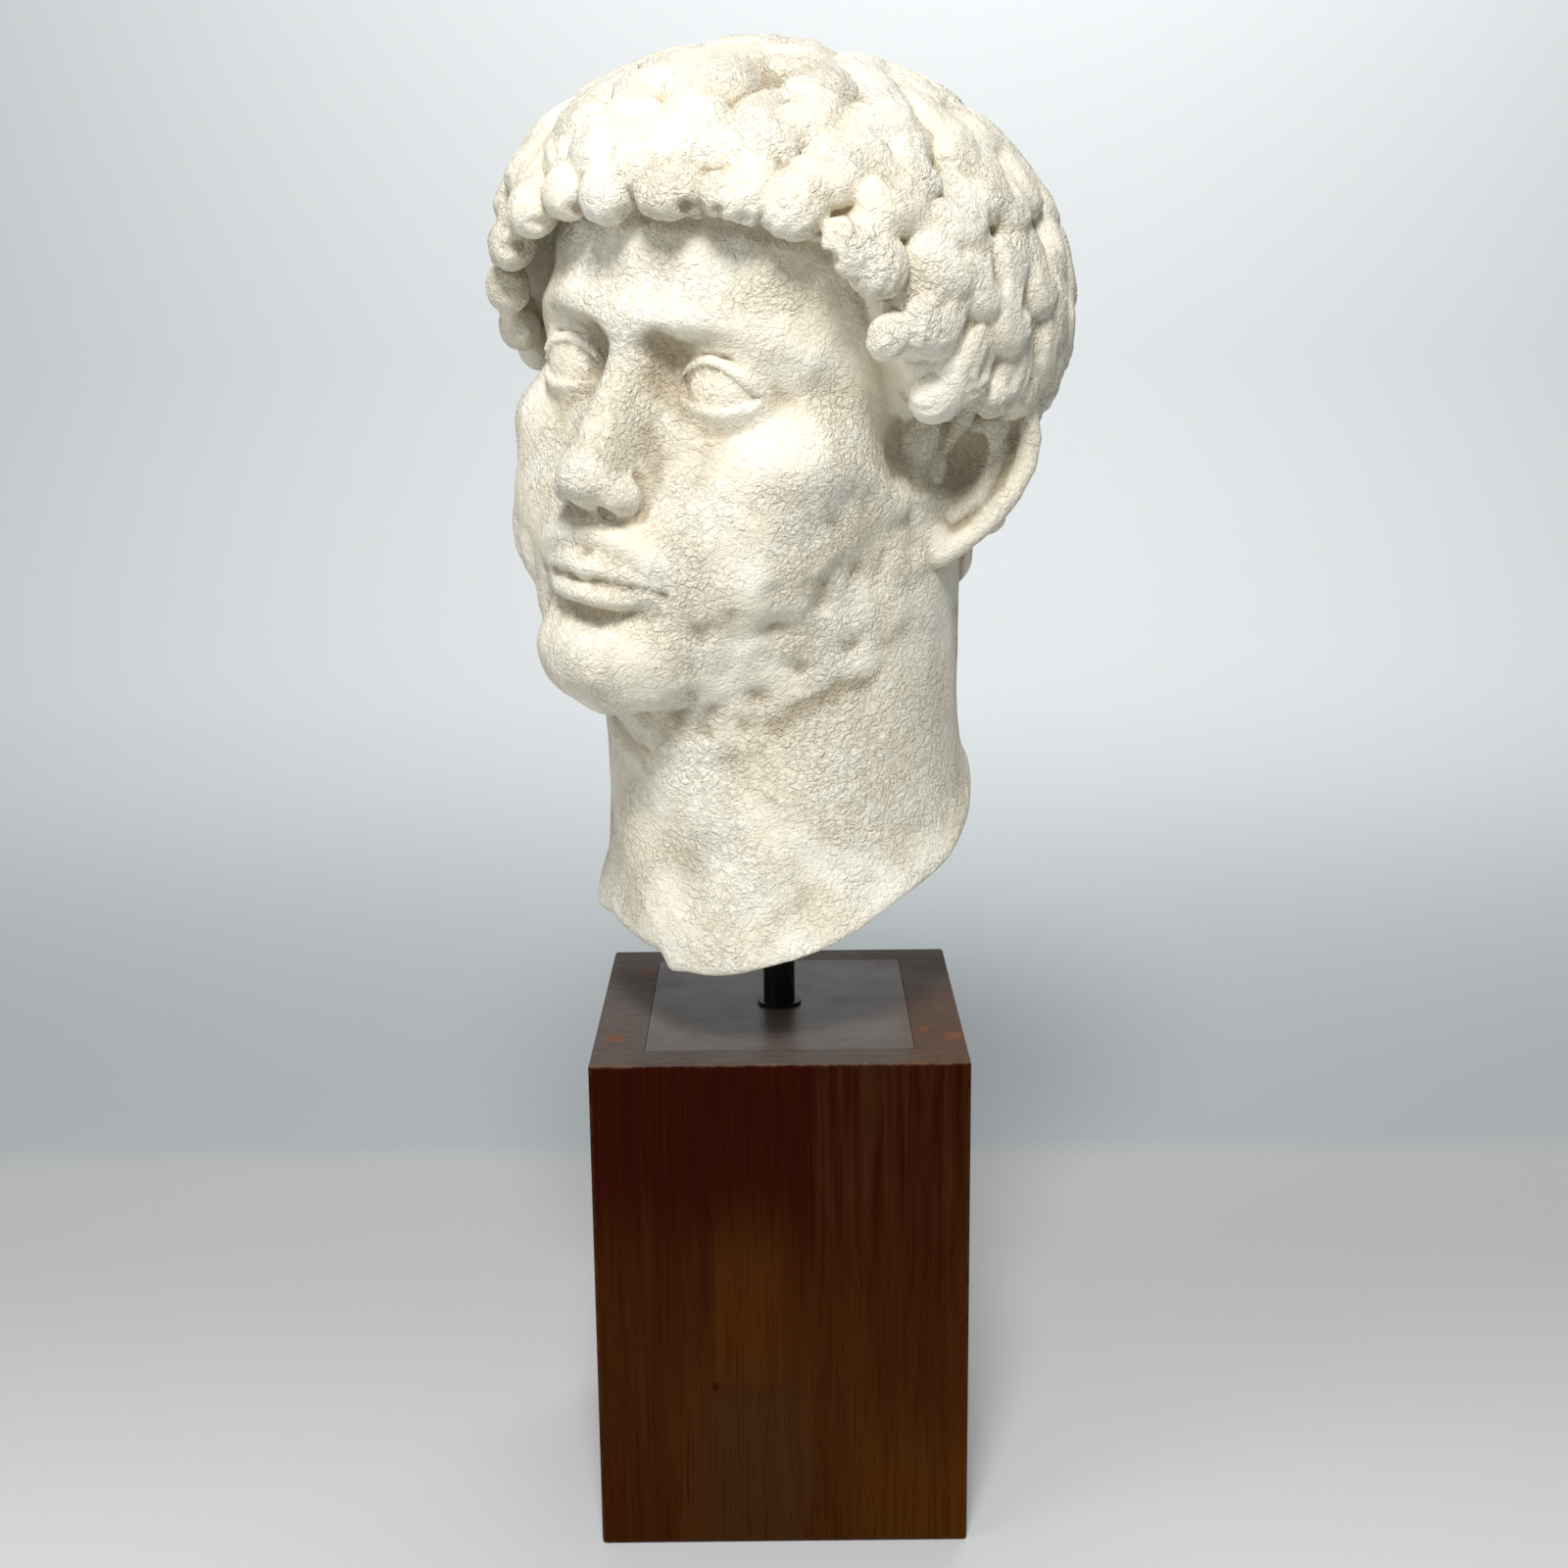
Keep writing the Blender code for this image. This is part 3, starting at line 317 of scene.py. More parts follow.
def nose(f):
    f.tube([(0, -1.27, 2.00), (0, -1.31, 1.84), (0, -1.42, 1.60), (0, -1.54, 1.34), (0, -1.60, 1.22)],
           [0.12, 0.095, 0.110, 0.12, 0.12], k=0.12)
    f.ellipsoid((0, -1.60, 1.19), (0.145, 0.135, 0.125), k=0.08)
    # The nose's body, sloping back to the cheeks
    f.limb((0, -1.20, 1.84), (0, -1.36, 1.19), 0.10, 0.185, k=0.12)
    f.limb((0, -1.58, 1.12), (0, -1.44, 1.04), 0.060, 0.055, k=0.06)
    f.pair("ellipsoid", (0.150, -1.46, 1.12), (0.092, 0.150, 0.098), k=0.07)
    # Nostrils
    f.pair("ellipsoid", (0.095, -1.50, 1.035), (0.042, 0.075, 0.050), k=0.03, cut=True,
           axes=[unit((1, 0.35, 0)), unit((-0.35, 1, 0)), (0, 0, 1)])
    # Crease beside the wing
    crease = curve([(0.19, -1.40, 1.24), (0.255, -1.385, 1.14), (0.235, -1.38, 1.03)], 5)
    f.pair("tube", crease, np.full(5, 0.012), k=0.05, cut=True)


def eyes(f):
    """Calm open eyes: a ball in each socket under two thin lids with an almond opening, and the fold above."""
    middle = np.array([0.46, -1.075, 1.74])
    ball = np.array([0.225, 0.215, 0.215])
    f.pair("ellipsoid", middle, ball - 0.006, k=0.03)

    def lids(p):
        x = np.abs(p[:, 0])
        q = np.column_stack([x, p[:, 1], p[:, 2]]) - middle
        shell = off_ellipsoid(q, ball + 0.034)
        top = np.interp(x, LID_PLACES, UPPER_LID)
        foot = np.interp(x, LID_PLACES, LOWER_LID)
        opening = np.minimum(top - p[:, 2], p[:, 2] - foot) * 0.9
        return -smooth_min(-shell, -opening, 0.012)
    f.add(lids, (0, -1.1, 1.74), 0.90, 0.05)
    fold = curve([(0.25, -1.12, 1.87), (0.36, -1.17, 1.94), (0.48, -1.19, 1.97), (0.62, -1.13, 1.93),
                  (0.75, -0.98, 1.83)], 9)
    f.pair("tube", fold, 0.045 + 0.050 * np.sin(np.linspace(0, math.pi, 9)), k=0.07)
    # The crease over the upper lid
    crease = np.array([(x, 0, z + 0.058) for x, z in zip(LID_PLACES[2:-2], UPPER_LID[2:-2])])
    crease[:, 1] = middle[1] - 0.252 * np.sqrt(np.maximum(
        1 - ((crease[:, 0] - middle[0]) / 0.262) ** 2 - ((crease[:, 2] - middle[2]) / 0.252) ** 2, 0.02))
    f.pair("tube", crease, np.array([0.002, 0.009, 0.011, 0.009, 0.002]), k=0.026, cut=True)
    # Tear corner
    f.pair("ellipsoid", (0.236, -1.19, 1.70), (0.022, 0.03, 0.018), k=0.03, cut=True)


def mouth(f):
    # Upper lip in two swells with a dip between, lower lip fuller
    f.tube(curve([(-0.37, -1.29, 0.665), (-0.21, -1.42, 0.712), (-0.07, -1.475, 0.742), (0, -1.475, 0.724),
                  (0.07, -1.475, 0.742), (0.21, -1.42, 0.712), (0.37, -1.29, 0.665)], 15),
           0.024 + 0.042 * np.sin(np.linspace(0, math.pi, 15)) ** 0.7, k=0.035)
    f.tube(curve([(-0.33, -1.30, 0.640), (-0.18, -1.41, 0.588), (0, -1.445, 0.568), (0.18, -1.41, 0.588),
                  (0.33, -1.30, 0.640)], 13),
           0.024 + 0.056 * np.sin(np.linspace(0, math.pi, 13)) ** 0.7, k=0.04)
    # The parting of the lips
    f.tube(curve([(-0.41, -1.27, 0.650), (-0.2, -1.47, 0.660), (-0.06, -1.53, 0.664), (0, -1.53, 0.655),
                  (0.06, -1.53, 0.664), (0.2, -1.47, 0.660), (0.41, -1.27, 0.650)], 17),
           np.full(17, 0.015), k=0.025, cut=True)
    f.pair("ellipsoid", (0.41, -1.28, 0.650), (0.020, 0.04, 0.022), k=0.06, cut=True)
    # Groove under the nose, hollow over the chin
    f.limb((0, -1.53, 0.97), (0, -1.555, 0.81), 0.035, 0.035, k=0.06, cut=True)
    f.ellipsoid((0, -1.55, 0.445), (0.24, 0.14, 0.06), k=0.12, cut=True)


def ears(f, k=0.03):
    """The ear lies in a plane turned out from the head: a rim, an inner ridge, a bowl, a flap and a lobe."""
    out = unit((0.70, 0.71, 0.0))
    up = unit((0.05, 0.22, 1))
    # Across is towards the ear's back edge, and face is away from the head
    across = unit(out - up * (out @ up))
    face = np.cross(across, up)
    face = face if face[0] > 0 else -face
    root = np.array([1.12, 0.10, 1.48])

    def at(a, u, n=0.0):
        return root + 1.12 * (a * across + u * up + n * face)
    plate = np.array([across, up, face])
    f.pair("ellipsoid", at(0.17, 0.05, -0.03), (0.28, 0.45, 0.085), k=0.07, axes=plate)
    rim = curve([at(0.02, 0.10, 0.02), at(0.03, 0.30, 0.05), at(0.15, 0.44, 0.05), at(0.31, 0.40, 0.045),
                 at(0.41, 0.20, 0.04), at(0.38, -0.05, 0.03), at(0.26, -0.28, 0.02), at(0.14, -0.42, 0.01)], 14)
    f.pair("tube", rim, np.linspace(0.062, 0.070, 14), k=k)
    f.pair("ellipsoid", at(0.09, -0.38, 0.015), (0.11, 0.12, 0.06), k=0.05, axes=plate)
    f.pair("ellipsoid", at(0.12, 0.02, 0.10), (0.125, 0.21, 0.13), k=0.05, axes=plate, cut=True)
    ridge = curve([at(0.20, 0.30, 0.0), at(0.255, 0.12, 0.02), at(0.24, -0.08, 0.02),
                   at(0.15, -0.22, 0.02)], 8)
    f.pair("tube", ridge, np.full(8, 0.04), k=k)
    f.pair("ellipsoid", at(-0.03, -0.02, 0.02), (0.06, 0.10, 0.055), k=0.04, axes=plate)


# Hair, beard and the cut neck

CROWN = unit((0.0, 0.30, 1.0))


def scalp(p, grow=0.0):
    """The point of the grown skull on the ray from its centre through p, and the outward direction there."""
    q = np.asarray(p, float) - SKULL
    r = SKULL_R + HAIR_DEPTH + grow
    s = q / length(q / r)
    return SKULL + s, unit(s / r ** 2)


def scalp_at(degrees, height, grow):
    """The grown skull's point so far round from the middle of the face, and the outward direction there."""
    a = math.radians(degrees)
    return scalp(SKULL + np.array([math.sin(a) * 1.3, -math.cos(a) * 1.6, height - SKULL[2]]), grow)


def hairline(azimuth):
    """Height of the hair's edge above the chin, from the front (0 degrees) round to the back (180)."""
    return np.interp(np.abs(azimuth), [0, 22, 40, 50, 58, 66, 74, 82, 90, 98, 112, 135, 180],
                     [2.56, 2.58, 2.52, 2.30, 2.04, 1.82, 1.74, 1.82, 1.93, 1.80, 1.20, 0.70, 0.50])


def azimuth_of(q):
    return np.degrees(np.arctan2(np.abs(q[..., 0]), -q[..., 1]))


def hair_cap(f):
    """The mass under the locks: the skull grown by the hair's depth, kept behind the hairline."""
    def distance(p):
        q = p - SKULL
        d = off_ellipsoid(q, SKULL_R + HAIR_DEPTH - 0.05)
        low = hairline(azimuth_of(q))
        return -smooth_min(-d, (p[:, 2] - low) * 0.8, 0.12)
    f.add(distance, SKULL, 2.0, 0.10)
    # Hair down the nape
    f.ellipsoid((0, 0.78, 1.42), (0.98, 0.74, 0.80), k=0.25)
    f.limb((0, 0.72, 1.35), local((-0.001, 0.016, 0.430)), 0.80, 0.92, k=0.25)


def lock(start, heading, size, turn, thick, lift=0.08, steps=8, grow=-0.08):
    """Points, outward directions and radii of a lock: it rises along the heading and hooks round."""
    p, n = scalp(start, grow)
    h = unit(heading - n * (heading @ n))
    points, normals, radii = [], [], []
    for i in range(steps):
        t = i / (steps - 1)
        points.append(p + n * lift * t ** 0.8)
        normals.append(n)
        radii.append(thick * (0.50 + 0.50 * math.sin(math.pi * (0.18 + 0.68 * t))))
        angle = math.radians(turn) / (steps - 1) * (0.2 + 2.4 * t * t)
        h = unit(h * math.cos(angle) + np.cross(n, h) * math.sin(angle))
        p, n = scalp(p + h * size / (steps - 1) * (1.25 - 0.5 * t), grow)
        h = unit(h - n * (h @ n))
    return np.array(points), np.array(normals), np.array(radii)


def hair(f):
    """Locks in rows down from the crown, each lapping over the next, and rolled curls along the front."""
    chance = np.random.RandomState(7)
    side = unit(np.cross(CROWN, (1, 0, 0)))
    across = np.cross(side, CROWN)
    for row, polar in enumerate(LOCK_ROWS):
        ring = 2 * math.pi * math.sin(math.radians(polar)) * 1.6
        count = max(4, int(round(ring / LOCK_SPACING)))
        for i in range(count):
            phi = 2 * math.pi * (i + 0.5 * (row % 2) + 0.16 * chance.uniform(-1, 1)) / count
            angle = math.radians(polar + 2.5 * chance.uniform(-1, 1))
            out = across * math.cos(phi) + side * math.sin(phi)
            ray = CROWN * math.cos(angle) + out * math.sin(angle)
            flow = out * math.cos(angle) - CROWN * math.sin(angle)
            p, n = scalp(SKULL + ray)
            around = azimuth_of(p - SKULL)
            edge = p[2] - hairline(around)
            jitter = chance.uniform(-1, 1, 5)
            if edge < 0.12 + 0.26 * (around < 85):
                continue
            tight = step(polar, 25, 80)
            sign = 1 if jitter[4] > 0 else -1
            turn = sign * (105 + 70 * tight) * (1 + 0.25 * jitter[0])
            size = (0.47 - 0.04 * tight) * (1 + 0.12 * jitter[1])
            heading = unit(flow + (0.35 * jitter[2] - 0.5 * sign) * np.cross(ray, flow))
            thick = 0.152 + 0.018 * jitter[3]
            points, normals, radii = lock(p, heading, size, turn, thick, lift=0.065 + 0.030 * tight)
            f.ribbon(points, normals, radii, flat=0.52 + 0.20 * tight)
    for i, (degrees, height, wide, tall) in enumerate(KNOBS):
        p, n = scalp_at(degrees, height, -0.05)
        level = unit(np.cross((0, 0, 1), n))
        lean = math.radians(18 if i % 2 else -14)
        across = level * math.cos(lean) + np.cross(n, level) * math.sin(lean)
        radii = (1.08 * wide, 0.75 * min(wide, tall) + 0.02, tall)
        f.knob(p, np.array([across, n, np.cross(across, n)]), radii)
        # The hair combed forward into the roll
        back = unit(np.cross(across, n)) if np.cross(across, n)[2] > 0 else -unit(np.cross(across, n))
        root, hook = p + (0.50 + tall) * back, 25 if i % 2 else -25
        points, normals, radii = lock(root, -back + 0.3 * across, 0.46, hook, 1.05 * max(wide, 0.11), lift=0.05)
        f.ribbon(points, normals, radii, flat=0.60)


def on(f, p, times=6):
    """The nearest point of the form below p, and the outward direction there."""
    p = np.atleast_2d(np.asarray(p, float))
    eps = 0.01
    for _ in range(times):
        g = np.stack([(f(p + e) - f(p - e)) for e in np.eye(3) * eps], -1) / (2 * eps)
        size = np.maximum((g * g).sum(-1), 0.2)
        p = p - g * (f(p) / size)[:, None]
    return p, g / length(g)[:, None]


def short_curls(f, starts, chance, thick, stride, turn=46, down=(0, -0.1, -1.0), sink=0.02, k=0.05):
    """Short curls on the form's own surface, each setting out aslant and turning back under itself."""
    places, normals = on(f, starts)
    path = []
    for p, n in zip(places, normals):
        fall = unit(np.array(down) - n * (n @ down))
        sign = 1 if chance.uniform() < 0.5 else -1
        h = unit(fall + 0.9 * sign * np.cross(n, fall))
        for _ in CURL_WIDTHS:
            path.append(p)
            angle = math.radians(-sign * turn * chance.uniform(0.8, 1.2))
            h = h * math.cos(angle) + np.cross(n, h) * math.sin(angle)
            p = p + h * stride
    path, outward = on(f, path, 4)
    for line in (path - sink * outward).reshape(-1, len(CURL_WIDTHS), 3):
        f.tube(line, thick * CURL_WIDTHS, k=k)


def beard(f, rows=5, columns=21):
    """Short curls in low relief from one sideburn round the jaw to the other, and a faint moustache."""
    chance = np.random.RandomState(11)
    upper = curve([(0.99, -0.40, 1.46), (0.93, -0.62, 1.12), (0.74, -1.02, 0.84), (0.50, -1.28, 0.50),
                   (0.26, -1.42, 0.36), (0, -1.46, 0.32)], 30)
    lower = curve([(0.99, -0.20, 1.34), (0.94, -0.12, 0.72), (0.74, -0.42, 0.34), (0.46, -0.78, 0.06),
                   (0.2, -0.94, -0.08), (0, -0.98, -0.10)], 30)
    upper = np.vstack([upper, upper[-2::-1] * (-1, 1, 1)])
    lower = np.vstack([lower, lower[-2::-1] * (-1, 1, 1)])
    starts = []
    for r in range(rows):
        for c in range(columns):
            s = (c + 0.5 * (r % 2) + 0.25 * chance.uniform(-1, 1)) / columns
            t = (r + 0.2 * chance.uniform(-1, 1)) / (rows - 1)
            i = min(max(s, 0), 1) * (len(upper) - 1)
            j = min(int(i), len(upper) - 2)
            a = upper[j] * (j + 1 - i) + upper[j + 1] * (i - j)
            b = lower[j] * (j + 1 - i) + lower[j + 1] * (i - j)
            starts.append(a + (b - a) * t)
    short_curls(f, starts, chance, 0.072, 0.062, turn=32, sink=0.054, k=0.085)
    moustache = curve([(0.05, -1.47, 0.90), (0.20, -1.44, 0.87), (0.36, -1.33, 0.79), (0.46, -1.22, 0.66)], 7)
    f.pair("tube", moustache, [0.034, 0.042, 0.046, 0.044, 0.040, 0.034, 0.026], k=0.10)


def nape(f, rows=5, columns=15):
    """Curls lower down the back of the head, growing smaller towards the neck."""
    chance = np.random.RandomState(5)
    for r in range(rows):
        height = 1.46 - 0.22 * r
        spread = 84 - 8 * r
        starts = []
        for c in range(columns - 2 * r):
            a = math.radians(180 + spread * (2 * (c + 0.5 * (r % 2)) / (columns - 2 * r - 0.5) - 1))
            out = np.array([math.sin(a), -math.cos(a)])
            starts.append((1.05 * out[0], 0.35 + 1.15 * out[1], height + 0.05 * chance.uniform(-1, 1)))
        short_curls(f, starts, chance, 0.122 - 0.016 * r, 0.100 - 0.012 * r, down=(0, 0.1, -1.0),
                    sink=0.02 + 0.006 * r)


TURN = (np.array([[math.cos(TILT), 0, math.sin(TILT)], [0, 1, 0], [-math.sin(TILT), 0, math.cos(TILT)]])
        @ np.array([[math.cos(YAW), -math.sin(YAW), 0], [math.sin(YAW), math.cos(YAW), 0], [0, 0, 1]]))


def placed(p):
    """From face thirds in the head's own frame to metres in the shared one."""
    return np.asarray(p) @ TURN.T * FACE_THIRD + SEAT


def local(p):
    return (np.asarray(p, float) - SEAT) / FACE_THIRD @ TURN


def above_cut(w):
    level = CUT_POINT[2] + CUT_SLOPE[0] * (w[:, 0] - CUT_POINT[0]) + CUT_SLOPE[1] * (w[:, 1] - CUT_POINT[1])
    return (w[:, 2] - level) * CUT_LEAN


def neck(f):
    """The neck stands upright under the tilted head, laid out in metres, and flares to a collar at the cut."""
    def distance(p):
        w = placed(p)
        q = w[:, :2] - NECK_MID
        flare = COLLAR * np.exp(-np.maximum(above_cut(w), -0.02) / 0.013)
        half = np.array(NECK_HALF) + flare[:, None]
        return np.maximum(off_ellipsoid(q, half), w[:, 2] - 0.50) / FACE_THIRD
    f.add(distance, local((0, 0, 0.38)), 2.6, 0.30)
    pit = local((-0.040, -0.066, 0.300))
    for sign in (1, -1):
        f.limb((sign * 0.90, 0.22, 0.95), pit + np.array([sign * 0.16, 0.06, 0.05]), 0.16, 0.10, k=0.3)
    f.limb((0, -0.62, 0.10), local((-0.034, -0.056, 0.37)), 0.16, 0.10, k=0.35)


def cut_below(f):
    """The cast ends below in a sloping cut, its edge rounded and its face a little uneven."""
    def distance(p):
        w = placed(p)
        wave = 0.0015 * np.sin(w[:, 0] * 70 + 1.2) * np.cos(w[:, 1] * 55)
        nick = 0.0075 * step(-w[:, 0], 0.050, 0.057) * step(-w[:, 1], 0.0, 0.03)
        return (above_cut(w) - wave - nick) / FACE_THIRD
    f.add(distance, (0, 0, 0), FAR, 0.10, cut=True)


def blocked_out(form):
    """A rough mesh of the form: a ball for each of its shapes, the hair's mass and a round neck."""
    bm = bmesh.new()
    bmesh.ops.create_icosphere(bm, subdivisions=3, radius=1)
    ball = np.array([v.co[:] for v in bm.verts])
    faces = np.array([[v.index for v in face.verts] for face in bm.faces])
    bm.free()
    shells = [middle + (ball * radii) @ axes for middle, radii, axes in form.balls]
    # The hair's mass is drawn in below the hairline, clear of the face
    cap = ball * (SKULL_R + HAIR_DEPTH - 0.06)
    bare = cap[:, 2] + SKULL[2] < hairline(azimuth_of(cap))
    cap[bare] *= 0.75
    shells.append(cap + SKULL)
    shells.append(ball * (0.85, 0.75, 0.95) + (0, -0.25, 1.30))
    mesh = bpy.data.meshes.new("head")
    corners = np.vstack([faces + len(ball) * i for i in range(len(shells))])
    mesh.from_pydata(np.vstack(shells).tolist(), [], corners.tolist())
    bm = bmesh.new()
    bm.from_mesh(mesh)
    top, foot = local([(NECK_MID[0], NECK_MID[1], 0.480), (NECK_MID[0], NECK_MID[1], 0.300)])
    axis = Vector(top - foot)
    place = Matrix.Translation(Vector((top + foot) / 2)) @ axis.to_track_quat("Z", "Y").to_matrix().to_4x4()
    radius = NECK_HALF[0] / FACE_THIRD
    made = bmesh.ops.create_cone(bm, cap_ends=True, segments=48, radius1=radius, radius2=radius,
                                 depth=axis.length, matrix=place)
    for v in made["verts"]:
        w = placed(np.array(v.co))
        if w[2] < 0.39:
            w[:2] += (w[:2] - NECK_MID) * COLLAR / NECK_HALF[0]
            w[2] -= above_cut(w[None])[0] / CUT_LEAN
            v.co = local(w)
    bm.to_mesh(mesh)
    bm.free()
    return mesh


def drilled_hollows(f):
    """Deep drill marks under and between the knobs of the fringe."""
    for degrees, height, radius in DRILL_MARKS:
        p, n = scalp_at(degrees, height, -0.10)
        f.limb(p + n * 0.12, p - n * 0.10 + np.array([0, 0, 0.06]), radius, radius * 0.7, k=0.03, cut=True)


def head_form():
    f = Form()
    skull_and_face(f)
    neck(f)
    hair_cap(f)
    nose(f)
    eyes(f)
    mouth(f)
    beard(f)
    hair(f)
    nape(f)
    drilled_hollows(f)
    ears(f)
    cut_below(f)
    return f


def settled(form, p, times, reach=0.08):
    """Points moved along the form's slope on to its surface."""
    eps = 0.003
    corners = np.array([(1, 1, 1), (-1, -1, 1), (-1, 1, -1), (1, -1, -1)], float)
    for _ in range(times):
        near = form.near(p)
        samples = [form(p + c * eps, near) for c in corners]
        slope = sum(v[:, None] * c for v, c in zip(samples, corners)) / (4 * eps)
        level = sum(samples) / 4
        steep = np.maximum((slope * slope).sum(-1), 0.25)
        p = p - slope * (np.clip(level, -reach, reach) / steep)[:, None]
    return p


def vectors(items, name):
    """The vector of that name of each of a mesh's vertices or faces."""
    flat = np.empty(len(items) * 3)
    items.foreach_get(name, flat)
    return flat.reshape(-1, 3)


def set_vertices(mesh, p):
    mesh.vertices.foreach_set("co", np.asarray(p, float).ravel())
    mesh.update()


def evened(mesh, values, share=0.5, times=1):
    """Each vertex's values drawn towards the mean of its neighbours'."""
    edges = np.empty(len(mesh.edges) * 2, int)
    mesh.edges.foreach_get("vertices", edges)
    a, b = edges.reshape(-1, 2).T
    count = np.maximum(np.bincount(a, minlength=len(values)) + np.bincount(b, minlength=len(values)), 1)
    values = np.array(values, float)
    for _ in range(times):
        for column in values.reshape(len(values), -1).T:
            around = np.bincount(a, column[b], len(column)) + np.bincount(b, column[a], len(column))
            column += share * (around / count - column)
    return values


def alone(ob):
    """The object selected on its own and made active."""
    bpy.ops.object.select_all(action="DESELECT")
    ob.select_set(True)
    bpy.context.view_layer.objects.active = ob


def applied(ob, kind, **settings):
    """A modifier laid on the object and applied."""
    alone(ob)
    modifier = ob.modifiers.new(kind.title(), kind)
    for name, value in settings.items():
        setattr(modifier, name, value)
    bpy.ops.object.modifier_apply(modifier=modifier.name)


def finer(ob, wanted):
    """The faces round the wanted places split in four."""
    mesh = ob.data
    chosen = wanted(vectors(mesh.polygons, "center"))
    alone(ob)
    bpy.ops.object.mode_set(mode="EDIT")
    bpy.ops.mesh.select_mode(type="FACE")
    bpy.ops.mesh.select_all(action="DESELECT")
    bpy.ops.object.mode_set(mode="OBJECT")
    mesh.polygons.foreach_set("select", chosen)
    bpy.ops.object.mode_set(mode="EDIT")
    bpy.ops.mesh.subdivide(number_cuts=1, quadcorner="INNERVERT")
    bpy.ops.object.mode_set(mode="OBJECT")


def finely_carved(p):
    """Where the carving is finest: the face, the rolled curls along the front and the ears."""
    above = p[:, 2] - hairline(azimuth_of(p - SKULL))
    face = (p[:, 1] < -0.60) & (p[:, 2] > 0.40) & (above < 0)
    fringe = (above > -0.30) & (above < 0.24) & (p[:, 1] < -0.30) & (p[:, 2] > 1.5)
    ear = (np.abs(p[:, 0]) > 1.05) & (np.abs(p[:, 1] - 0.28) < 0.40) & (np.abs(p[:, 2] - 1.48) < 0.58)
    return face | fringe | ear


def unevenness(p):
    """Slight dips and rises of the cast's skin, in metres."""
    return np.array([noise.fractal(Vector(q) * 55, 0.9, 2.1, 4) for q in p])


def carve(name):
    """The plaster head: its form blocked out, settled on, refined and bored for the post."""
    form = head_form()
    head = bpy.data.objects.new(name, blocked_out(form))
    bpy.context.scene.collection.objects.link(head)
    applied(head, "REMESH", mode="VOXEL", voxel_size=VOXEL * 1.0)
    mesh = head.data
    p = vectors(mesh.vertices, "co")
    for _ in range(5):
        p = evened(mesh, settled(form, p, 1), 0.35)
    set_vertices(mesh, settled(form, p, 1))
    finer(head, finely_carved)
    p = vectors(mesh.vertices, "co")
    for _ in range(3):
        p = evened(mesh, settled(form, p, 1, 0.05), 0.25)
    set_vertices(mesh, placed(settled(form, p, 2, 0.03)))
    applied(head, "DECIMATE", ratio=min(1.0, TRIANGLES / sum(len(q.vertices) - 2 for q in mesh.polygons)))
    mesh = head.data
    p = vectors(mesh.vertices, "co")
    p = p + vectors(mesh.vertices, "normal") * UNEVEN * unevenness(p)[:, None]
    set_vertices(mesh, np.clip(p, np.array(HEAD_BOX[0]) + INSIDE, np.array(HEAD_BOX[1]) - INSIDE))
    bore(head)
    mark_hollows(head.data)
    alone(head)
    bpy.ops.object.shade_smooth_by_angle(angle=math.radians(70))
    return head


def bore(head):
    """The hole that the post stands in, a little wider than the post."""
    bpy.ops.object.select_all(action="DESELECT")
    depth = POST_BOX[1][2] + GAP - BORE_FOOT
    bpy.ops.mesh.primitive_cylinder_add(vertices=48, radius=POST_RADIUS + GAP, depth=depth,
                                        location=(0, 0, BORE_FOOT + depth / 2))
    drill = bpy.context.object
    applied(head, "BOOLEAN", object=drill, solver="EXACT")
    bpy.data.objects.remove(drill)


def mark_hollows(mesh):
    """How far each point lies under the smoothed surface round it, kept on the mesh for the finish."""
    p = vectors(mesh.vertices, "co")
    normals = vectors(mesh.vertices, "normal")
    near = ((evened(mesh, p, 0.5, 10) - p) * normals).sum(-1) / NARROW_HOLLOW
    wide = ((evened(mesh, p, 0.5, 120) - p) * normals).sum(-1) / WIDE_HOLLOW
    depth = np.clip(0.5 * near + 0.5 * wide, -1, 1)
    layer = mesh.attributes.new("hollow", "FLOAT", "POINT")
    layer.data.foreach_set("value", evened(mesh, depth, 0.5, 2).astype(np.float32))


# Finishes

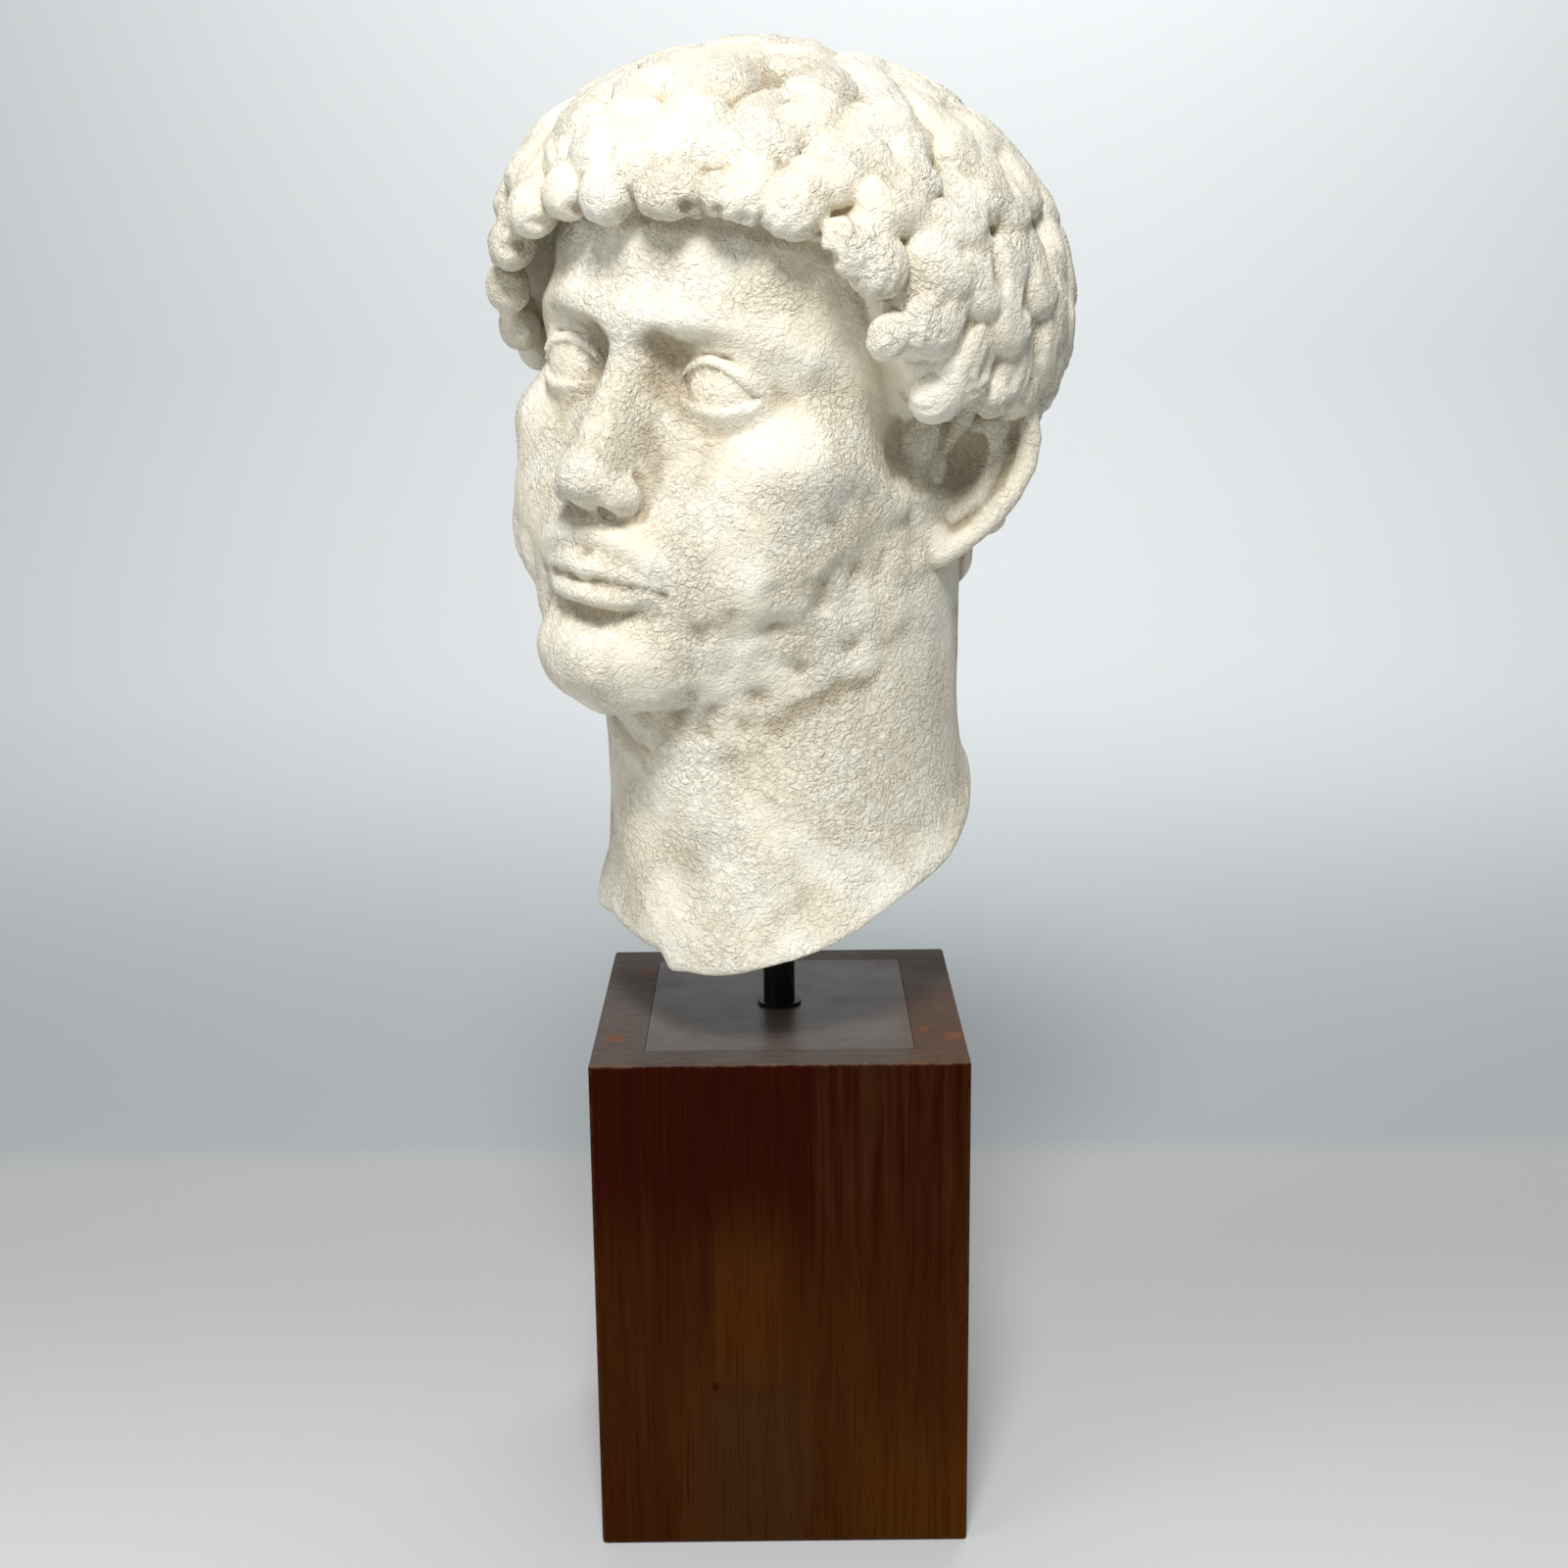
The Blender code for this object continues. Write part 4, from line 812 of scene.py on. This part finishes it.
class Wire:
    """An output of a shader node to reckon with: sums on it lay Math nodes, and add lays any other node."""

    def __init__(self, tree, socket=None):
        self.tree = tree
        self.socket = socket

    def add(self, kind, settings=None, inputs=None, output=0):
        node = self.tree.nodes.new(kind)
        for name, value in (settings or {}).items():
            setattr(node, name, value)
        for name, value in (inputs or {}).items():
            if isinstance(value, Wire):
                self.tree.links.new(value.socket, node.inputs[name])
            else:
                node.inputs[name].default_value = value
        return Wire(self.tree, node.outputs[output])

    def sum(self, operation, a, b=0.0):
        return self.add("ShaderNodeMath", {"operation": operation}, {0: a, 1: b})

    def __add__(self, other):
        return self.sum("ADD", self, other)

    def __radd__(self, other):
        return self.sum("ADD", other, self)

    def __sub__(self, other):
        return self.sum("SUBTRACT", self, other)

    def __rsub__(self, other):
        return self.sum("SUBTRACT", other, self)

    def __mul__(self, other):
        return self.sum("MULTIPLY", self, other)

    def __rmul__(self, other):
        return self.sum("MULTIPLY", other, self)

    def rise(self, low, high):
        """0 below low, 1 above high and a smooth rise between."""
        return self.add("ShaderNodeMapRange", {"interpolation_type": "SMOOTHSTEP"}, {0: self, 1: low, 2: high})

    def fall(self, low, high):
        return 1.0 - self.rise(low, high)

    def parts(self):
        """The three parts of a vector."""
        node = self.add("ShaderNodeSeparateXYZ", None, {0: self}).socket.node
        return [Wire(self.tree, output) for output in node.outputs]

    def scaled(self, scale, turn=(0, 0, 0)):
        return self.add("ShaderNodeMapping", None, {"Vector": self, "Rotation": turn, "Scale": scale})

    def clouds(self, scale, detail=3.0, roughness=0.5, distortion=0.0, output=0):
        return self.add("ShaderNodeTexNoise", None, {"Vector": self, "Scale": scale, "Detail": detail,
                                                     "Roughness": roughness, "Distortion": distortion}, output)

    def cells(self, scale):
        """How far each point is from the edges between irregular cells."""
        return self.add("ShaderNodeTexVoronoi", {"feature": "DISTANCE_TO_EDGE"},
                        {"Vector": self, "Scale": scale})

    def stirred(self, scale, amount):
        """The coordinates pushed about by a noise."""
        push = self.clouds(scale, 2.0, output=1)
        middle = self.add("ShaderNodeVectorMath", {"operation": "SUBTRACT"}, {0: push, 1: (0.5, 0.5, 0.5)})
        values = {0: middle, 1: (amount,) * 3, 2: self}
        return self.add("ShaderNodeVectorMath", {"operation": "MULTIPLY_ADD"}, values)

    def over(self, under, colour, factor):
        """The colour laid over the one under it, as thick as the factor says."""
        under = under if isinstance(under, Wire) else paint(under)
        return self.add("ShaderNodeMix", {"data_type": "RGBA"}, {0: factor, 6: under, 7: paint(colour)}, 2)


def paint(colour):
    return tuple(colour)[:3] + (1.0,)


def new_finish(name):
    """A new material, the wire for its nodes, its shader node and its object coordinates."""
    material = bpy.data.materials.new(name)
    material.use_nodes = True
    tree = material.node_tree
    shader = tree.nodes["Principled BSDF"]
    wire = Wire(tree)
    place = wire.add("ShaderNodeTexCoord", output="Object")
    return material, wire, shader, place


def connect(shader, **sockets):
    """Wires led to the shader's sockets, and plain numbers set on them."""
    for name, value in sockets.items():
        socket = shader.inputs[name.replace("_", " ")]
        if isinstance(value, Wire):
            value.tree.links.new(value.socket, socket)
        else:
            socket.default_value = value


def bumped(wire, height, distance):
    return wire.add("ShaderNodeBump", None, {"Strength": 1.0, "Distance": distance, "Height": height})


def dress(ob, material):
    """The material put in the object's first slot, in place of what is there."""
    ob.data.materials.clear()
    ob.data.materials.append(material)


def ivory_crackle(look):
    """Matt ivory paint, crackled and flaking, brushed smooth in places, tanned in the hollows with a tan that
    is partly painted shade, and lightened on raised parts with a partly painted highlight.
    """
    material, wire, shader, place = new_finish("ivory_crackle_plaster")
    hollow = wire.add("ShaderNodeAttribute", {"attribute_name": "hollow"}, output="Fac")
    stirred = place.stirred(150.0, 0.010)
    wide = stirred.cells(1.0 / look.crack_cell)
    fine = place.stirred(380.0, 0.0040).cells(2.1 / look.crack_cell)
    veins = wire.sum("ABSOLUTE", place.stirred(300.0, 0.003).clouds(230.0, 3.0, 0.6) - 0.5)
    crinkle = stirred.clouds(480.0, 5.0, 0.66)
    blotches = place.clouds(19.0, 4.0, 0.6, 0.4)
    crackled = (blotches + hollow * 0.05).rise(0.40, 0.58) * 0.68 + 0.32
    brushed = place.scaled((60.0, 60.0, 900.0), (0.5, 0.7, 0.3)).clouds(1.0, 3.0, 0.5)
    cracks = wire.sum("MAXIMUM", wide.fall(0.0, 0.06), veins.fall(0.0, 0.022))
    colour = wire.over(look.ivory, look.chalk_and_highlight, place.clouds(34.0, 3.0).rise(0.35, 0.7))
    colour = wire.over(colour, look.shade, place.clouds(7.0, 2.0).rise(0.45, 0.75) * 0.30)
    colour = wire.over(colour, look.tan, crinkle.fall(0.26, 0.46) * crackled * 0.14)
    colour = wire.over(colour, look.tan, cracks * crackled * 0.32)
    # Tan in the hollows: partly the wash left there and partly painted shade in the recesses and between the
    # curls
    colour = wire.over(colour, look.tan, hollow.rise(0.0, 0.85) * 0.62)
    # Chalk on the raised parts: partly rubbed paint and partly a painted highlight
    colour = wire.over(colour, look.chalk_and_highlight, hollow.fall(-0.9, -0.2) * 0.30)
    height = wide.rise(0.0, 0.20) * 0.50 + fine.rise(0.0, 0.30) * 0.35
    height = height + veins.rise(0.0, 0.06) * 0.35 + crinkle * 1.1
    height = height * (crackled * 0.88 + 0.12)
    height = height + brushed * (1.0 - crackled) * 0.30
    connect(shader, Base_Color=colour, Roughness=0.86 - hollow.rise(0.0, 1.0) * 0.06,
            Normal=bumped(wire, height, look.crack_depth), Specular_IOR_Level=0.25)
    return material


def satin_black(look):
    """Satin black paint on steel, with faint brush lines and dust."""
    material, wire, shader, place = new_finish("satin_black_steel")
    mottle = place.clouds(90.0, 4.0, 0.6)
    lines = place.scaled((900.0, 900.0, 25.0)).clouds(1.0, 2.0)
    colour = wire.over(look.black, look.dust, mottle.rise(0.5, 0.8) * 0.06)
    connect(shader, Base_Color=colour, Roughness=look.post_gloss + mottle * 0.16,
            Normal=bumped(wire, lines * 0.6 + mottle * 0.4, 0.0001), Specular_IOR_Level=0.22)
    return material


def board_wood(look, name, grain, offset, zones=None, sheen=0.02):
    """Varnished red-brown hardwood. Grain is the axis that it runs along, and offset picks another plank."""
    material, wire, shader, place = new_finish(name)
    shifted = wire.add("ShaderNodeVectorMath", {"operation": "ADD"}, {0: place, 1: offset})
    stretched = shifted.scaled([1.0 if axis == grain else 16.0 for axis in range(3)])
    figure = stretched.clouds(3.2, 4.0, 0.55, 0.9)
    bands = stretched.clouds(9.0, 5.0, 0.6, 0.5)
    streaks = shifted.scaled([14.0 if axis == grain else 620.0 for axis in range(3)]).clouds(1.0, 4.0, 0.6)
    pores = shifted.scaled([60.0 if axis == grain else 1500.0 for axis in range(3)]).clouds(1.0, 1.0)
    height = place.parts()[2]
    colour = wire.over(look.red_wood, look.dark_wood, height.rise(0.09, 0.22))
    figure = figure.rise(0.40, 0.72) * height.fall(0.05, 0.24)
    colour = wire.over(colour, look.amber_wood, figure * 0.40)
    colour = wire.over(colour, look.olive_wood, bands.rise(0.50, 0.78) * 0.40)
    if zones:
        colour = zones(look, wire, colour, place)
    colour = wire.over(colour, look.dark_wood, streaks.fall(0.30, 0.52) * 0.50)
    colour = wire.over(colour, look.red_wood, streaks.rise(0.46, 0.66) * 0.20)
    colour = wire.over(colour, look.amber_wood, streaks.rise(0.58, 0.80) * 0.22)
    colour = wire.over(colour, look.dark_wood, pores.fall(0.24, 0.38) * 0.5)
    # The boards' top faces, where the dulled varnish and its painted sheen go
    up = height.rise(PLINTH_TOP - 0.0012, PLINTH_TOP - 0.0004)
    colour = top_marks_and_sheen(look, wire, colour, place, up)
    worn = wear_on_edges(wire, place, look)
    colour = wire.over(colour, look.worn_wood, worn * 0.40)
    haze = place.clouds(26.0, 4.0, 0.6)
    connect(shader, Base_Color=colour, Roughness=look.wood_gloss + haze.rise(0.35, 0.75) * 0.14 + worn * 0.2,
            Specular_IOR_Level=sheen,
            Normal=bumped(wire, streaks * 0.5 + pores.rise(0.2, 0.4) * 0.5 + haze * 0.4, 0.00012))
    return material


def wear_on_edges(wire, place, look):
    """Where the varnish is rubbed through: along the top rim and the plinth's uprights, broken by a noise."""
    x, y, z = place.parts()
    half = look.plinth_width / 2
    out_x = wire.sum("ABSOLUTE", x)
    out_y = wire.sum("ABSOLUTE", y)
    chips = place.clouds(130.0, 4.0, 0.7)
    side_x = out_x.rise(half - WEAR_START, half - WEAR_FULL)
    side_y = out_y.rise(half - WEAR_START, half - WEAR_FULL)
    top = z.rise(PLINTH_TOP - WEAR_START, PLINTH_TOP - WEAR_FULL)
    foot = z.fall(0.0006, 0.0028)
    upright = side_x * side_y
    rim = wire.sum("MAXIMUM", side_x, side_y) * top
    base = wire.sum("MAXIMUM", side_x, side_y) * foot
    all_edges = wire.sum("MAXIMUM", wire.sum("MAXIMUM", upright * 0.35, rim), base * 0.3)
    return all_edges * chips.rise(0.40, 0.60)


def front_zones(look, wire, colour, place):
    """The front board's own figure: a dark upper plank, a streaked strip, an amber tongue and a dun middle."""
    x, y, z = place.parts()
    sway = place.scaled((30.0, 1.0, 8.0)).clouds(1.0, 3.0, 0.6) - 0.5
    ragged = place.scaled((320.0, 1.0, 24.0)).clouds(1.0, 4.0, 0.65) - 0.5
    stripes = place.scaled((210.0, 1.0, 7.0)).clouds(1.0, 3.0, 0.6)
    dark = x.fall(0.0155, 0.0170) * (z + ragged * 0.05).rise(0.150, 0.200)
    dark = dark * (1.0 - stripes.rise(0.50, 0.66) * x.fall(-0.055, -0.040) * 0.4)
    colour = wire.over(colour, look.dark_wood, dark * 0.85)
    strip = x.rise(0.0160, 0.0175) * (z + ragged * 0.07).rise(0.125, 0.190)
    colour = wire.over(colour, look.olive_wood, strip * stripes.rise(0.35, 0.70) * 0.5)
    tongue = x.rise(-0.0325, -0.0310) * (x + sway * 0.03).fall(-0.010, 0.012)
    tongue = tongue * (z + ragged * 0.022 + sway * 0.02).rise(0.080, 0.090)
    tongue = tongue * (z + ragged * 0.04).fall(0.135, 0.190)
    colour = wire.over(colour, look.amber_wood, tongue * 0.36)
    middle = (x + sway * 0.05).rise(-0.065, -0.030) * (x - z * 0.06 + sway * 0.008).fall(0.0085, 0.0125)
    middle = middle * (z + ragged * 0.03).fall(0.065, 0.110)
    colour = wire.over(colour, look.olive_wood, middle * 0.60)
    corner = (x + sway * 0.03).rise(0.015, 0.050) * (z + ragged * 0.02).fall(0.020, 0.090)
    colour = wire.over(colour, look.amber_wood, corner * 0.50)
    left = (x + sway * 0.03).fall(-0.075, -0.045) * z.fall(0.060, 0.160)
    colour = wire.over(colour, look.red_wood, left * 0.45)
    slant = wire.sum("ABSOLUTE", (x + 0.0365) * 0.93 + (z - 0.1765) * 0.37)
    slant = slant.fall(0.0004, 0.0030) * wire.sum("ABSOLUTE", z - 0.1765).fall(0.006, 0.014)
    colour = wire.over(colour, look.dark_wood, slant * 0.7)
    speck = wire.sum("SQRT", (x + 0.0325) * (x + 0.0325) + (z - 0.0835) * (z - 0.0835) * 0.5)
    return wire.over(colour, look.dark_wood, speck.fall(0.0008, 0.0024) * 0.8)


def top_marks_and_sheen(look, wire, colour, place, up):
    """The top's dulled varnish over all of the boards, partly a painted sheen of the bright room: brush marks,
    a redder right end and bare chips.
    """
    x, y, z = place.parts()
    ragged = place.scaled((190.0, 190.0, 1.0)).clouds(1.0, 4.0, 0.65) - 0.5
    swirl = place.stirred(18.0, 0.02).scaled((90.0, 420.0, 1.0), (0, 0, 0.5)).clouds(1.0, 3.0, 0.6)
    murk = place.clouds(17.0, 4.0, 0.6, 0.5)
    # Dulled varnish on the top, lightened as a painted sheen of the bright room where the boards have little
    # real gloss
    dull_and_sheen = 0.56 + swirl.rise(0.35, 0.65) * 0.20 + murk.rise(0.3, 0.7) * 0.18
    colour = wire.over(colour, look.dulled_wood_and_sheen, up * dull_and_sheen)
    red_end = (x + ragged * 0.012).rise(0.052, 0.066) * (y + ragged * 0.02).fall(0.015, 0.040)
    colour = wire.over(colour, look.amber_wood, red_end * up * 0.50)
    for middle, half in (((-0.069, 0.053), (0.0034, 0.0080)), ((-0.079, -0.052), (0.0048, 0.0055)),
                         ((0.083, -0.052), (0.0050, 0.0065)), ((0.070, -0.043), (0.0022, 0.0050))):
        across = wire.sum("ABSOLUTE", x - middle[0] + ragged * 0.009).fall(half[0] * 0.6, half[0])
        along = wire.sum("ABSOLUTE", y - middle[1] + ragged * 0.012).fall(half[1] * 0.6, half[1])
        colour = wire.over(colour, look.bare_wood, across * along * up * 0.85)
    return colour


def bare_underside(look):
    """Plain stained hardwood, unvarnished, under the plinth."""
    material, wire, shader, place = new_finish("bottom_panel_wood")
    long = place.scaled((14.0, 2.0, 14.0)).clouds(4.0, 5.0, 0.6, 0.6)
    streaks = place.scaled((500.0, 14.0, 500.0)).clouds(1.0, 3.0)
    colour = wire.over(look.red_wood, look.olive_wood, long.rise(0.3, 0.7))
    colour = wire.over(colour, look.dark_wood, streaks.fall(0.3, 0.55) * 0.5)
    connect(shader, Base_Color=colour, Roughness=0.72 + streaks * 0.1, Normal=bumped(wire, streaks, 0.0002))
    return material


def backdrop_with_painted_light(look):
    """A pale floor with painted light: a painted shade band behind the plinth, painted light growing towards
    the far wall and up it, and a painted pool of light on the near floor.
    """
    material, wire, shader, place = new_finish("studio_wall")
    x, y, z = place.parts()
    # Painted shade: a darker band from behind the plinth on, where the foot of a wall would be
    colour = wire.over(look.floor_colour, look.painted_shade_colour, y.rise(0.37, 0.43))
    # Painted light: the backdrop brightens towards the far wall and up it, and on the near floor
    far = wire.sum("MAXIMUM", y.rise(0.45, 2.2), z.rise(0.1, 0.9))
    near = y.fall(-0.35, 0.30)
    colour = wire.over(colour, look.painted_light_colour, wire.sum("MAXIMUM", far * 0.95, near * 0.70))
    scuffs = place.clouds(28.0, 5.0, 0.65, 0.8)
    colour = wire.over(colour, look.scuff_colour, scuffs.rise(0.60, 0.80) * near * 0.12)
    connect(shader, Base_Color=colour, Roughness=0.9, Specular_IOR_Level=0.15)
    return material


# Settings, operators and panel

def colour_of(name, description, value):
    return bpy.props.FloatVectorProperty(name=name, description=description, subtype="COLOR", size=3,
                                         min=0, max=1, default=value)


def share_of(name, description, value):
    return bpy.props.FloatProperty(name=name, description=description, subtype="FACTOR", min=0, max=1,
                                   default=value)


def size_of(name, description, value, least=0.0):
    return bpy.props.FloatProperty(name=name, description=description, unit="LENGTH", subtype="DISTANCE",
                                   min=least, precision=4, default=value)


def power_of(name, description, value):
    return bpy.props.FloatProperty(name=name, description=description, unit="POWER", min=0, default=value)


class PlasterLook(bpy.types.PropertyGroup):
    """The head's crackled paint"""
    ivory: colour_of("Ivory", "The paint's own colour", (0.83, 0.76, 0.60))
    # The chalk is rubbed paint and also a painted highlight on raised parts
    chalk_and_highlight: colour_of("Chalk", "The paint where it is rubbed and catches the light", (0.92, 0.88, 0.76))
    shade: colour_of("Shade", "The greyer areas of the paint", (0.70, 0.65, 0.52))
    # The tan is the wash in the cracks and also painted shade in the hollows and between the curls
    tan: colour_of("Tan", "The wash left in cracks and between the curls", (0.36, 0.27, 0.15))
    crack_cell: size_of("Crack spacing", "Width of one flake between the cracks", 0.0062, 0.001)
    crack_depth: size_of("Crack depth", "Depth of the cracks and wrinkles", 0.0009)


class PlinthLook(bpy.types.PropertyGroup):
    """The plinth's varnished boards and the post's paint"""
    plinth_width: size_of("Plinth width", "Width over the plinth's four sides",
                          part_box("plinth_front_board")[1][0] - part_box("plinth_front_board")[0][0])
    dark_wood: colour_of("Dark wood", "The darkest streaks of the boards", (0.0240, 0.0024, 0.0005))
    red_wood: colour_of("Red wood", "The boards' red-brown", (0.0400, 0.0100, 0.0014))
    amber_wood: colour_of("Amber wood", "The boards' warm light streaks", (0.0900, 0.0300, 0.0030))
    olive_wood: colour_of("Olive wood", "The boards' greyish brown parts", (0.0520, 0.0230, 0.0064))
    worn_wood: colour_of("Worn wood", "Rubbed wood along the edges", (0.20, 0.110, 0.060))
    bare_wood: colour_of("Bare wood", "Chips through the varnish of the top", (0.17, 0.060, 0.024))
    # The dulled wood is the dulled varnish and also a painted sheen of the bright room
    dulled_wood_and_sheen: colour_of("Dulled wood", "The grey-brown of the dulled varnish on top", (0.112, 0.092, 0.078))
    wood_gloss: share_of("Varnish roughness", "Roughness of the varnish", 0.30)
    black: colour_of("Post black", "The post's paint", (0.0035, 0.0035, 0.0038))
    dust: colour_of("Post dust", "Dust on the post", (0.05, 0.048, 0.045))
    post_gloss: share_of("Post roughness", "Roughness of the post's paint", 0.34)


class StageLook(bpy.types.PropertyGroup):
    """The room, its lights and the camera"""
    # The wall colour is painted shade, darker where the foot of a wall would be
    painted_shade_colour: colour_of("Wall", "The wall's colour", (0.43, 0.46, 0.47))
    floor_colour: colour_of("Floor", "The floor's colour", (0.50, 0.50, 0.485))
    # The bright colour is painted light on the far wall and the near floor
    painted_light_colour: colour_of("Bright backdrop", "The wall's upper part and the near floor", (0.82, 0.84, 0.845))
    scuff_colour: colour_of("Scuffs", "Faint marks on the backdrop", (0.36, 0.35, 0.33))
    wall_distance: size_of("Wall distance", "From the plinth's middle to the wall", 2.4, 0.2)
    key_power: power_of("Key light", "Power of the light above the camera", 35.0)
    fill_power: power_of("Fill light", "Power of the soft light at the left", 5.0)
    wall_power: power_of("Wall light", "Power of the light on the far wall", 36.0)
    lens: bpy.props.FloatProperty(name="Lens", description="The camera's focal length", unit="CAMERA", min=10,
                                  default=49.275)


class EMPERORHEAD_OT_carve_head(bpy.types.Operator):
    """Carve the plaster head and paint it"""
    bl_idname = "emperorhead.carve_head"
    bl_label = "Carve the head"

    def execute(self, context):
        head = carve("emperor_head")
        dress(head, ivory_crackle(context.scene.plaster_look))
        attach(head, "root")
        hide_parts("head")
        return {"FINISHED"}


class EMPERORHEAD_OT_finish_post(bpy.types.Operator):
    """Paint the steel post and its flange"""
    bl_idname = "emperorhead.finish_post"
    bl_label = "Finish the post"

    def execute(self, context):
        dress(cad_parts["mounting_post"], satin_black(context.scene.plinth_look))
        return {"FINISHED"}


class EMPERORHEAD_OT_finish_boards(bpy.types.Operator):
    """Varnish the plinth's boards and panels"""
    bl_idname = "emperorhead.finish_boards"
    bl_label = "Finish the boards"

    def execute(self, context):
        look = context.scene.plinth_look
        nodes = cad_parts
        front = board_wood(look, "front_board_wood", 2, (0.0, 0.0, 0.0), front_zones)
        dress(nodes["plinth_front_board"], front)
        dress(nodes["plinth_back_board"], board_wood(look, "back_board_wood", 2, (3.1, 0.4, 1.7)))
        dress(nodes["plinth_left_board"], board_wood(look, "left_board_wood", 2, (5.3, 2.2, 0.6)))
        dress(nodes["plinth_right_board"], board_wood(look, "right_board_wood", 2, (1.2, 4.6, 2.9)))
        top = board_wood(look, "top_panel_wood", 0, (7.7, 1.9, 4.1), sheen=0.12)
        dress(nodes["plinth_top_panel"], top)
        dress(nodes["plinth_bottom_panel"], bare_underside(look))
        return {"FINISHED"}


class EMPERORHEAD_OT_set_stage(bpy.types.Operator):
    """Set up the floor and wall, the soft lights and the camera"""
    bl_idname = "emperorhead.set_stage"
    bl_label = "Set the stage"

    def execute(self, context):
        look = context.scene.stage_look
        bpy.ops.object.select_all(action="DESELECT")
        room(look)
        soft_light("key_light", (-0.08, -1.28, 1.78), (0.0, 0.0, 0.48), 0.5, look.key_power)
        soft_light("fill_light", (-1.25, -0.90, 0.95), (0.0, 0.0, 0.45), 0.9, look.fill_power)
        soft_light("wall_light", (0.30, 0.80, 2.30), (0.30, 2.30, 1.40), 1.0, look.wall_power)
        sky(SKY_STRENGTH)
        context.scene.view_settings.view_transform = "Standard"
        photo_camera(look)
        return {"FINISHED"}


def edge_of(mesh, test):
    """The first edge whose two ends both pass the test."""
    return next(e for e in mesh.edges if all(test(mesh.vertices[i].co) for i in e.vertices))


def room(look):
    """The floor and the wall in one sheet, with a wide cove between them."""
    bpy.ops.mesh.primitive_plane_add(size=1.0, location=(0, 0, 0))
    floor = bpy.context.object
    floor.name = "studio_floor"
    floor.scale = (FLOOR_SIZE[0], FLOOR_SIZE[1], 1.0)
    floor.location = (0, look.wall_distance - FLOOR_SIZE[1] / 2, -0.0002)
    bpy.ops.object.transform_apply(location=True, rotation=True, scale=True)
    mesh = floor.data
    bpy.ops.object.mode_set(mode="EDIT")
    bpy.ops.mesh.select_mode(type="EDGE")
    bpy.ops.mesh.select_all(action="DESELECT")
    bpy.ops.object.mode_set(mode="OBJECT")
    edge_of(mesh, lambda co: co.y > look.wall_distance - 0.01).select = True
    bpy.ops.object.mode_set(mode="EDIT")
    bpy.ops.mesh.extrude_region_move(TRANSFORM_OT_translate={"value": (0, 0, WALL_HEIGHT)})
    bpy.ops.mesh.select_all(action="DESELECT")
    bpy.ops.object.mode_set(mode="OBJECT")
    edge_of(mesh, lambda co: co.y > look.wall_distance - 0.01 and co.z < 0.01).select = True
    bpy.ops.object.mode_set(mode="EDIT")
    bpy.ops.mesh.bevel(offset=COVE, segments=16)
    bpy.ops.object.mode_set(mode="OBJECT")
    bpy.ops.object.shade_smooth()
    dress(floor, backdrop_with_painted_light(look))


def soft_light(name, place, aim, size, power):
    lamp = bpy.data.lights.new(name, "AREA")
    lamp.shape = "DISK"
    lamp.size = size
    lamp.energy = power
    ob = bpy.data.objects.new(name, lamp)
    bpy.context.scene.collection.objects.link(ob)
    ob.location = place
    ob.rotation_euler = (Vector(aim) - Vector(place)).to_track_quat("-Z", "Y").to_euler()


def sky(strength):
    world = bpy.data.worlds.new("studio_sky")
    world.use_nodes = True
    background = world.node_tree.nodes["Background"]
    background.inputs["Color"].default_value = (0.90, 0.95, 1.0, 1.0)
    background.inputs["Strength"].default_value = strength
    bpy.context.scene.world = world


def photo_camera(look):
    """The camera that the plinth's corners and the post were matched with."""
    pitch, yaw, roll = math.radians(CAMERA_PITCH), math.radians(CAMERA_YAW), math.radians(CAMERA_ROLL)
    forward = Vector((math.sin(yaw) * math.cos(pitch), math.cos(yaw) * math.cos(pitch), -math.sin(pitch)))
    level = Vector((math.cos(yaw), -math.sin(yaw), 0))
    down = forward.cross(level)
    right = level * math.cos(roll) + down * math.sin(roll)
    up = level * math.sin(roll) - down * math.cos(roll)
    camera = bpy.data.cameras.new("photo_camera")
    camera.sensor_width = 36.0
    camera.lens = look.lens
    camera.clip_start = 0.01
    ob = bpy.data.objects.new("photo_camera", camera)
    bpy.context.scene.collection.objects.link(ob)
    turned = Matrix((right, up, -forward)).transposed()
    ob.matrix_world = Matrix.Translation(CAMERA_PLACE) @ turned.to_4x4()
    bpy.context.scene.camera = ob


class EMPERORHEAD_PT_steps(bpy.types.Panel):
    """The steps of making the head on its plinth"""
    bl_label = "Emperor's Head"
    bl_idname = "EMPERORHEAD_PT_steps"
    bl_space_type = "VIEW_3D"
    bl_region_type = "UI"
    bl_category = "Emperor's Head"

    def draw(self, context):
        for step_class in STEPS:
            self.layout.operator(step_class.bl_idname)
        for look in (context.scene.plaster_look, context.scene.plinth_look, context.scene.stage_look):
            box = self.layout.box()
            for name in look.__annotations__:
                box.prop(look, name)


STEPS = (EMPERORHEAD_OT_carve_head, EMPERORHEAD_OT_finish_post, EMPERORHEAD_OT_finish_boards,
         EMPERORHEAD_OT_set_stage)
CLASSES = (PlasterLook, PlinthLook, StageLook) + STEPS + (EMPERORHEAD_PT_steps,)


def register():
    for made in CLASSES:
        bpy.utils.register_class(made)
    bpy.types.Scene.plaster_look = bpy.props.PointerProperty(type=PlasterLook)
    bpy.types.Scene.plinth_look = bpy.props.PointerProperty(type=PlinthLook)
    bpy.types.Scene.stage_look = bpy.props.PointerProperty(type=StageLook)


def unregister():
    del bpy.types.Scene.stage_look
    del bpy.types.Scene.plinth_look
    del bpy.types.Scene.plaster_look
    for made in reversed(CLASSES):
        bpy.utils.unregister_class(made)


def main():
    register()
    bpy.ops.object.select_all(action="DESELECT")
    bpy.ops.emperorhead.carve_head()
    bpy.ops.emperorhead.finish_post()
    bpy.ops.emperorhead.finish_boards()
    bpy.ops.emperorhead.set_stage()


if __name__ == "__main__":
    main()
